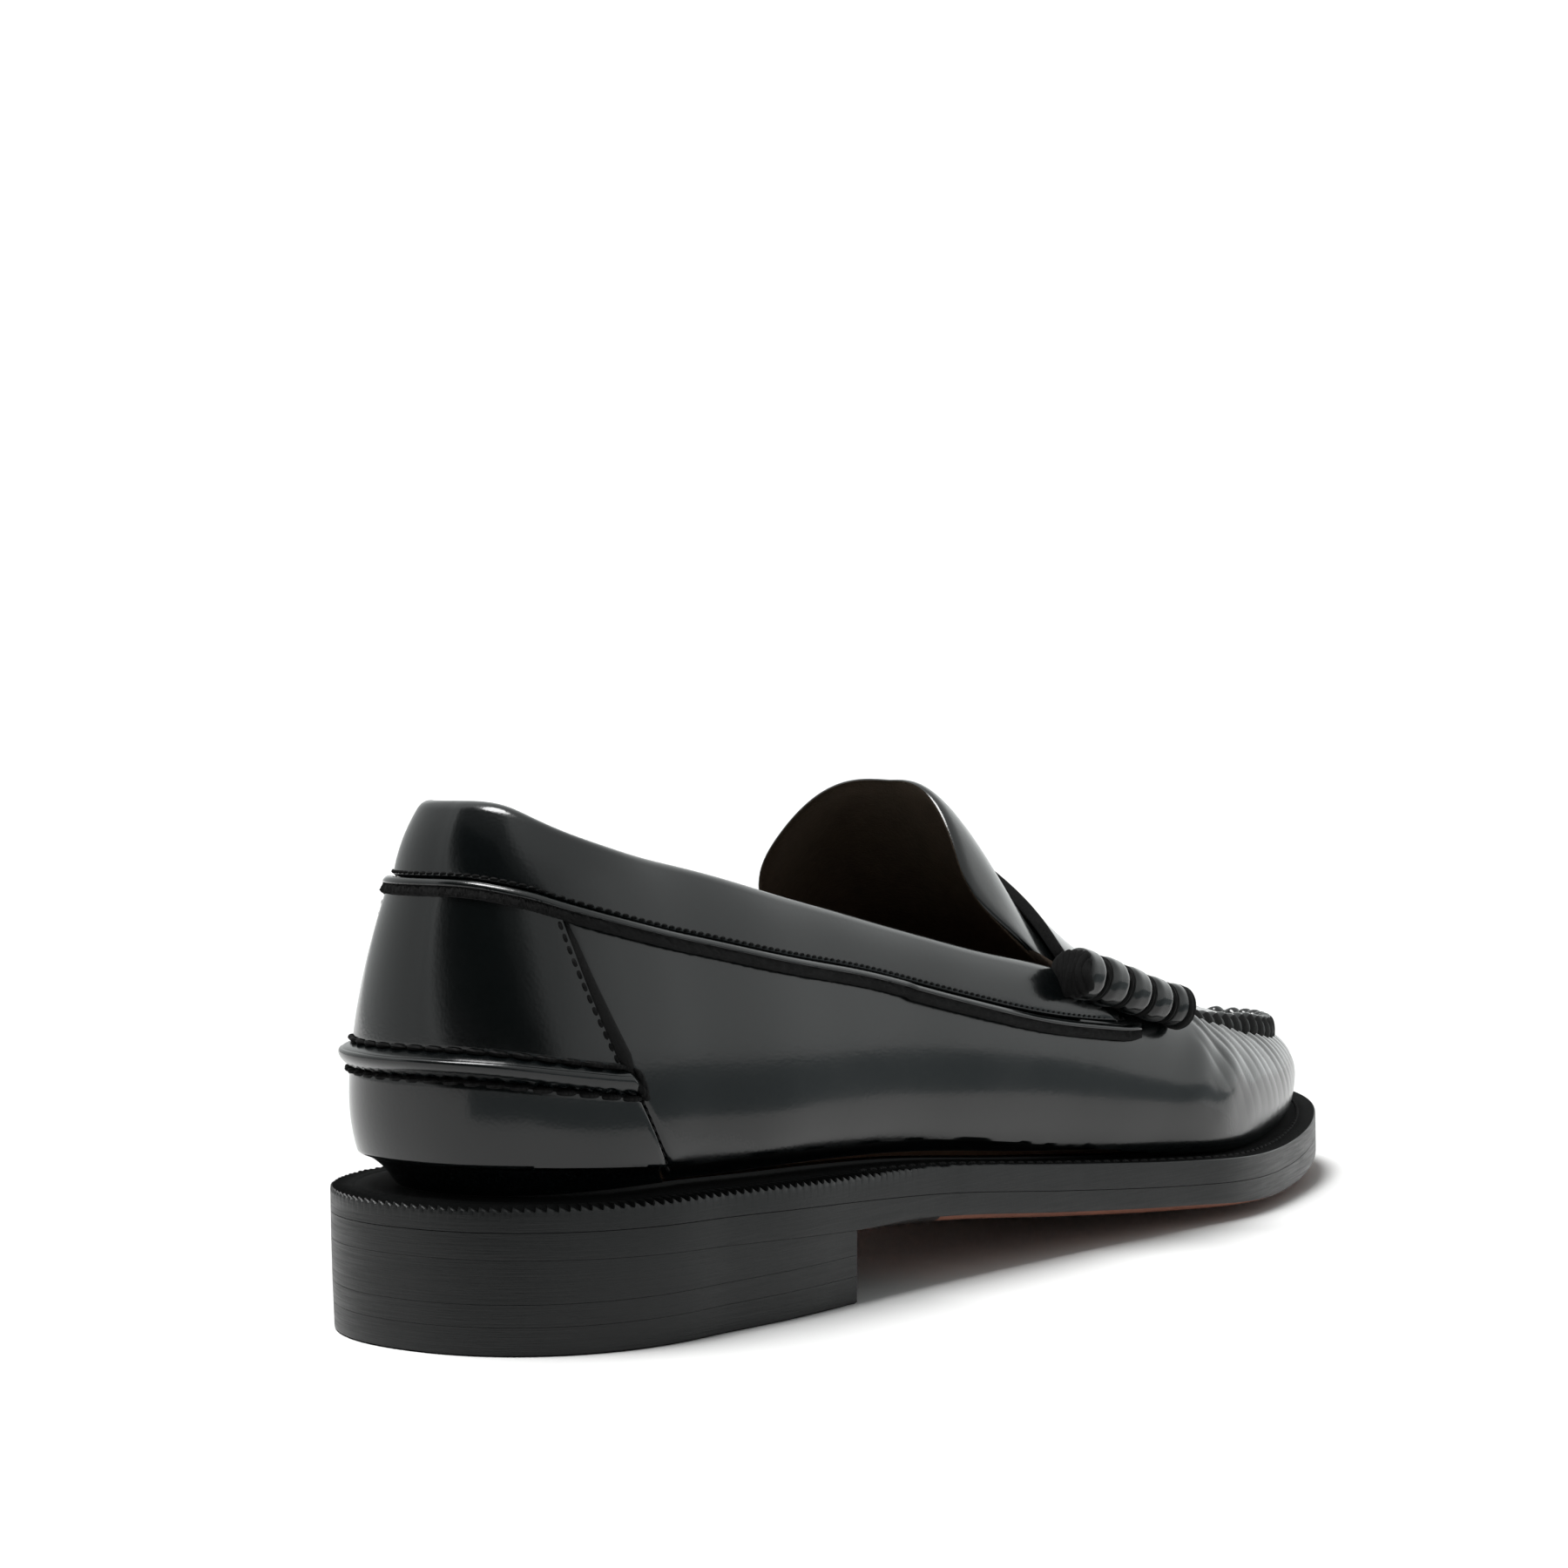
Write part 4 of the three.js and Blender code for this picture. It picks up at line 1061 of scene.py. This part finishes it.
# ---------------------------------------------------------------- sole and heel
def add_welt():
    fine = lap_at(118)
    laps = np.concatenate([np.linspace(-fine, fine, 1500, endpoint=False),
                           np.linspace(fine, 2 - fine, 620, endpoint=False)])
    x = lap_of(laps)[1]
    run = run_along(edge(laps))
    bottom, top = sole_bottom(x) + outsole_thickness(x) + 0.02, sole_top(x)
    # the teeth of the wheeled edge round the heel, and a ragged cut where they end
    tooth = np.mod(run / WHEEL_PITCH, 1) * (1 - smoothstep(x, 62, 112))
    ragged = (ripple(np.stack([run, run * 0.3, 0 * run], -1), 0.18, 2.6, 31)
              * np.exp(-((x - 100) / 22) ** 2))
    # inset, part of the welt's height and share of the teeth, from the outer face inwards
    shape = [(0.0, 0.0, 0), (0.0, 0.25, 0), (0.0, 0.6, 0), (0.0, 0.86, 0.35), (0.06, 0.97, 1.0),
             (0.3, 1.0, 1.0), (0.9, 1.0, 1.0), (1.7, 1.0, 0.7), (2.6, 1.0, 0.3), (3.6, 0.99, 0),
             (WELT_CHANNEL, 0.93, 0), (4.8, 0.99, 0), (7.0, 1.0, 0), (WELT_WIDTH + 4, 1.0, 0),
             (WELT_WIDTH + 4, 0.0, 0)]
    columns = []
    for inset, rise, teeth in shape:
        height = bottom + (top - bottom) * rise - teeth * (tooth + ragged * 0.8)
        inset = inset + (0.25 * tooth * teeth if inset < 1.2 else 0)
        columns.append(np.c_[inset_edge(laps, inset), height])
    lattice_piece("welt", np.stack(columns, 1), [EDGE, WELT_TOP], [0] * 5 + [1] * 9 + [0],
                  wrap_u=True, slot="welt_leather", sharp=40)
    # lock stitches in the channel of the welt, forward of the heel
    start = lap_at(84)
    laps = np.linspace(start, 2 - start, 1400)
    line = np.c_[inset_edge(laps, WELT_CHANNEL), sole_top(lap_of(laps)[1]) - 0.42]
    run = run_along(line)
    strands = []
    for middle in stitch_middles(run, WELT_PITCH):
        path = np.stack([np.interp(middle + SPOTS * 2.75, run, part) for part in line.T], 1)
        path[:, 2] += 0.34 * np.cos(SPOTS * np.pi)
        strands.append(path)
    tubes_piece("welt_stitches", strands, 0.42, sides=6)


def add_outsole():
    laps = np.linspace(0, 2, 760, endpoint=False)
    x = lap_of(laps)[1]
    along = np.clip(x, 34, 262)
    hub = np.stack([along, centre_line(along)], -1)
    rim = inset_edge(laps, 12.0)
    bottom, thickness = sole_bottom(x), outsole_thickness(x)

    def under(points, station):
        away = points[:, 1] - centre_line(points[:, 0])
        half = half_width(np.clip(points[:, 0], 0.5, LENGTH - 0.5), np.where(away > 0, 1, -1))
        q = np.clip(away / np.maximum(half, 1), -1, 1)
        return sole_bottom(station) - sole_crown(station) * (1 - q * q)

    # the top face from the middle out, then the edge
    columns = []
    for f in np.linspace(0, 1, 4):
        station = hub[:, 0] * (1 - f) + x * f
        columns.append(np.c_[hub * (1 - f) + rim * f,
                             sole_bottom(station) + outsole_thickness(station)])
    for inset, drop in ((0.5, 0.0), (0.0, 0.10)):
        columns.append(np.c_[inset_edge(laps, inset), bottom + thickness - drop])
    free = smoothstep(x, 76, 100) * (1 - 0.88 * smoothstep(x, 180, 222))
    lowest = 0.04 + 0.18 * free
    for rise in (0.75, 0.5, 0.25, 0.0):
        columns.append(np.c_[edge(laps), bottom + thickness * (lowest + (1 - lowest) * rise)])
    # the underside: a bevel where the edge is free, the stitch channel, and the middle
    first_under = len(columns)
    for inset, lift in ((0.15, 0.85), (0.9, 0.3), (1.6, 0), (3.2, 0), (5.4, 0), (5.8, -0.28),
                        (6.2, 0), (8.0, 0), (12.0, 0)):
        spot = inset_edge(laps, inset * (0.1 + 0.9 * free) if inset < 2 else inset)
        columns.append(np.c_[spot, under(spot, x) + abs(lift) * free])
    for f in np.linspace(0, 1, 16)[1:]:
        spot = rim * (1 - f) + hub * f
        columns.append(np.c_[spot, under(spot, x * (1 - f) + hub[:, 0] * f)])
    slots = [int(j >= first_under and station >= WAIST) for station in x
             for j in range(len(columns) - 1)]
    welded_piece("outsole", columns, [EDGE, HIDE], "sole_leather", slots, sharp=35)


def heel_outline(taper):
    """The heel's outline at a taper, from the outer breast corner round the back."""
    end = lap_at(HEEL_BREAST)
    laps = np.linspace(end, -end, 320)
    around = inset_edge(laps, taper)
    straight = np.linspace(around[-1], around[0], 60)[1:-1]
    return (np.concatenate([around, straight]),
            np.concatenate([lap_of(laps)[1], np.full(len(straight), HEEL_BREAST)]))


def heel_layer(name, bottom, roof, slot, low_round=0.04):
    taper_at = lambda z: HEEL_TAPER * (1 - z / 12)
    low, station = heel_outline(taper_at(bottom))
    floor, ceiling = np.full(len(station), bottom), roof(station)
    high, _ = heel_outline(taper_at(min(float(np.mean(ceiling)), 12)))
    along = unit(np.roll(low, -2, 0) - np.roll(low, 2, 0))
    into = np.stack([-along[:, 1], along[:, 0]], 1)
    into *= -np.sign(into[0] @ (low[0] - low.mean(0)))
    hub = np.stack([np.clip(low[:, 0], 30, 55), np.zeros(len(station))], 1)
    columns = []
    for f in (0.0, 0.5, 0.9):
        spot = hub * (1 - f) + (high + into) * f
        columns.append(np.c_[spot, roof(spot[:, 0])])
    columns += [np.c_[high + into * 0.04, ceiling], np.c_[high, ceiling - 0.024],
                np.c_[(high + low) / 2, (ceiling + floor) / 2],
                np.c_[low, floor + low_round * 0.6], np.c_[low + into * low_round, floor]]
    columns += [np.c_[(low + into) * (1 - f) + hub * f, floor] for f in (0.1, 0.5, 1.0)]
    welded_piece(name, columns, [EDGE], slot, sharp=35)


def add_heel():
    low_lift = TOP_PIECE + 0.02
    top_of_lift = low_lift + LIFT + 0.25
    heel_layer("top_piece", 0.0, lambda x: TOP_PIECE + 0 * x, "heel_rubber", 0.5)
    heel_layer("heel_lift_lower", low_lift, lambda x: top_of_lift + 0 * x, "lift_leather")
    heel_layer("heel_lift_upper", top_of_lift + 0.02, lambda x: sole_bottom(x) - 0.04,
               "lift_leather")


def add_nails():
    turns = turns_of(28)
    # radius and height: the domed head level with the top piece, and the shank above it
    profile = [(0.05, 0.02), (1.2, 0.02), (1.75, 0.08), (2.0, 0.27), (2.0, 0.62), (0.8, 1.02),
               (0.8, 12.02), (0.1, 12.82)]
    for i, (x, y) in enumerate([(12, 0), (30, -22), (30, 22), (62, -26), (62, 24)]):
        points = np.stack([np.c_[x + r * np.cos(turns), y + r * np.sin(turns),
                                 np.full(len(turns), z)] for r, z in profile])
        lattice_piece(f"heel_nail_{i + 1}", points, [STEEL], slot="nail_steel", sharp=30)


def flat_layer(name, high_x, inset, bottom, thickness, material, slot):
    """The insole and the heel sock: a thin sheet with rounded edges inside the upper."""
    whole = high_x > LENGTH - 2
    end = lap_at(high_x)
    laps = np.linspace(0, 2, 420, endpoint=False) if whole else np.linspace(-end, end, 300)
    spot, station = inset_edge(laps, inset), lap_of(laps)[1]
    if not whole:
        # a front end that bows forwards
        bow = np.linspace(spot[-1], spot[0], 60)[1:-1]
        bow[:, 0] += 6 * (1 - np.linspace(-1, 1, 60)[1:-1] ** 2)
        station = np.concatenate([station, bow[:, 0]])
        spot = np.concatenate([spot, bow])
    middle = np.clip(spot[:, 0], 40, 250)
    hub = np.stack([np.minimum(middle, high_x - 8), centre_line(middle)], 1)
    columns = []
    for f, rise in ((0.0, 1), (0.35, 1), (0.7, 1), (0.93, 1), (1.0, 0.5), (0.97, 0), (0.6, 0),
                    (0.0, 0)):
        height = bottom(station * f + hub[:, 0] * (1 - f)) + thickness * rise
        columns.append(np.c_[hub * (1 - f) + spot * f, height])
    welded_piece(name, columns, [material], slot)


def add_insole():
    inset = FOOT_INSET + LEATHER + 5.8 + 5 * GAP
    low = lambda x: sole_top(x) + GAP
    over = lambda x: low(x) + INSOLE_THICKNESS + 0.1
    flat_layer("insole", LENGTH - 0.8, inset, low, INSOLE_THICKNESS, LINING, "leather_board")
    flat_layer("heel_sock", 92, inset + 1.5, over, SOCK_THICKNESS, SOCK, "lining_leather")


add_welt()
add_outsole()
add_heel()
add_nails()
add_insole()
add_vamp()
add_heel_panels()
add_lip("heel_roll_lower", -2.9, 1.5, 5.2, 0.75, 0.40)
add_lip("heel_roll_upper", 0.5, 2.9, 4.9, -0.7, 0.0)
add_collar()
add_piping()
add_linings()
add_plug()
add_strap()
add_ridge()
add_beefroll("outer", -1)
add_beefroll("inner", 1)
add_stitching()
add_roll_stitches()

# Nodes whose CAD shape stays: only the material is given here.
for cad_name, material in (("cork_filler", CORK), ("shank", STEEL)):
    cad_object = bpy.data.objects[cad_name]
    cad_object.data.materials.clear()
    cad_object.data.materials.append(material)


# ---------------------------------------------------------------- floor, light and camera
def stage_mesh(name, corners, faces, material):
    """A mesh that belongs to the studio, not to the shoe."""
    mesh = bpy.data.meshes.new(name)
    mesh.from_pydata(corners, [], faces)
    mesh.materials.append(material)
    made = bpy.data.objects.new(name, mesh)
    bpy.context.scene.collection.objects.link(made)
    return made


paper, _, _ = new_material("paper", Base_Color=(0.93, 0.93, 0.925, 1), Roughness=0.7,
                           Specular_IOR_Level=0.1)
floor = stage_mesh("floor", [(-6, -6, 0), (6, -6, 0), (6, 6, 0), (-6, 6, 0)], [(0, 1, 2, 3)],
                   paper)

key = bpy.data.lights.new("key", "SUN")
key.energy = 3.45
key.angle = math.radians(26)
key.specular_factor = 0.16
key_lamp = bpy.data.objects.new("key", key)
bpy.context.scene.collection.objects.link(key_lamp)
key_side = math.radians(135)
key_from = Vector((math.cos(key_side) * 0.27, math.sin(key_side) * 0.27, 0.963))
key_lamp.rotation_euler = key_from.to_track_quat("Z", "Y").to_euler()


def floor_strip(name, near, far, colour, strength):
    """A glowing strip on the floor between two lines, seen only in the leather."""
    material, _, _ = new_material(name, Base_Color=(0, 0, 0, 1), Specular_IOR_Level=0,
                                  Emission_Color=(*colour, 1), Emission_Strength=strength)
    count = len(near)
    strip = stage_mesh(name, [(x, y, 0.0006) for x, y in near + far],
                       [(i, i + 1, i + count + 1, i + count) for i in range(count - 1)], material)
    for rays in ("camera", "diffuse", "shadow", "transmission", "volume_scatter"):
        setattr(strip, f"visible_{rays}", False)


# The far edge of the paper sweep, on the outer side and behind: a duller strip that gives
# the wall its darker band. Inside it a bright reflector lies beside the forefoot.
floor_strip("sweep_edge", [(0.50, -0.170), (0.15, -0.135), (0.02, -0.122), (-0.10, -0.150),
                           (-0.27, -0.12), (-0.33, 0.0)],
            [(1.6, -1.5), (0.3, -1.6), (-0.1, -1.6), (-0.6, -1.5), (-1.4, -0.9), (-1.6, 0.1)],
            (0.86, 0.97, 1.0), 0.42)
floor_strip("reflector", [(-0.06, -0.050), (0.02, -0.052), (0.06, -0.055), (0.11, -0.052)],
            [(-0.06, -0.136), (0.02, -0.121), (0.09, -0.128), (0.15, -0.134)],
            (1.0, 1.0, 0.99), 1.0)

world = bpy.data.worlds.new("studio")
bpy.context.scene.world = world
world.use_nodes = True
tree = world.node_tree


def calculate(operation, *values):
    made = tree.nodes.new("ShaderNodeMath")
    made.operation = operation
    for socket, value in zip(made.inputs, values):
        if isinstance(value, bpy.types.NodeSocket):
            tree.links.new(value, socket)
        else:
            socket.default_value = value
    return made.outputs[0]


def times(a, b):
    return calculate("MULTIPLY", a, b)


def plus(a, b):
    return calculate("ADD", a, b)


def rest(a):
    return calculate("SUBTRACT", 1.0, a)


def degrees(y, x):
    """The direction of (x, y), in degrees."""
    return times(calculate("ARCTAN2", y, x), 180 / math.pi)


def soft(value, low, high):
    made = node(tree, "ShaderNodeMapRange", Value=value, From_Min=low, From_Max=high)
    made.interpolation_type = "SMOOTHSTEP"
    return made.outputs["Result"]


# The room, by direction: brightest on the outer side towards the toe, duller opposite, and
# unlit behind the heel, where a light bank ends in a narrow bright edge.
direction = node(tree, "ShaderNodeTexCoord").outputs["Generated"]
east, north, rise = node(tree, "ShaderNodeSeparateXYZ", Vector=direction).outputs
turn = calculate("MODULO", plus(degrees(north, east), 360.0), 360.0)
tilt = degrees(rise, calculate("SQRT", rest(times(rise, rise))))
levels = [(30, 0.58), (60, 0.30), (95, 0.33), (130, 0.34), (200, 0.36), (236, 0.38), (252, 0.48),
          (285, 0.61), (325, 0.54), (350, 0.66)]
walls = colours(tree, calculate("DIVIDE", turn, 360.0), (0.0, grey(0.72)),
                *[(angle / 360, grey(value)) for angle, value in levels], (1.0, grey(0.72)))
ceiling = soft(tilt, 26, 46)
level = plus(times(times(walls, 2.0), rest(ceiling)), times(ceiling, 0.95))


def leaning(amount):
    """The heading, with an edge that leans over towards the heel with height."""
    return plus(turn, times(tilt, amount))


def stretch_of_room(left, right, right_lean):
    """1 between two soft edges, each given by the headings where it starts and ends."""
    return times(soft(leaning(0.95), *left), rest(soft(leaning(right_lean), *right)))


edge_light = stretch_of_room((146, 154), (160, 166), 0.95)
unlit = times(stretch_of_room((160, 167), (226, 242), 1.25), rest(soft(tilt, 38, 47)))
dim = times(stretch_of_room((152, 162), (227, 243), 0.8), rest(soft(tilt, 68, 80)))
unlit = calculate("MAXIMUM", unlit, times(dim, 0.85))
level = times(plus(level, times(edge_light, 0.45)), rest(times(unlit, 0.97)))
rays = node(tree, "ShaderNodeLightPath").outputs
level = times(level, rest(times(rays["Is Diffuse Ray"], 0.78)))
level = calculate("MAXIMUM", level, times(rays["Is Camera Ray"], 1.15))
fill(tree.nodes["Background"], Strength=level, Color=(0.97, 1.0, 0.995, 1))

bpy.context.scene.view_settings.view_transform = "Standard"
bpy.context.scene.view_settings.look = "None"

heading, pitch, roll = math.radians(37.04935), math.radians(1.269374), math.radians(-0.931265)
focal_length, image_width, sensor_width = 3859.096, 1800, 36
camera_at = (-0.56749, -0.40294, 0.1085)
flat_right = Vector((math.sin(heading), -math.cos(heading), 0))
flat_view = Vector((math.cos(heading), math.sin(heading), 0))
up = Vector((0, 0, 1))
view = flat_view * math.cos(pitch) - up * math.sin(pitch)
lift = up * math.cos(pitch) + flat_view * math.sin(pitch)
right = flat_right * math.cos(roll) + lift * math.sin(roll)
above = lift * math.cos(roll) - flat_right * math.sin(roll)
camera_data = bpy.data.cameras.new("camera")
camera_data.lens = focal_length / image_width * sensor_width
camera_data.sensor_width = sensor_width
camera = bpy.data.objects.new("camera", camera_data)
bpy.context.scene.collection.objects.link(camera)
turned_to = Matrix((right, above, -view)).transposed()
camera.matrix_world = Matrix.Translation(camera_at) @ turned_to.to_4x4()
bpy.context.scene.camera = camera
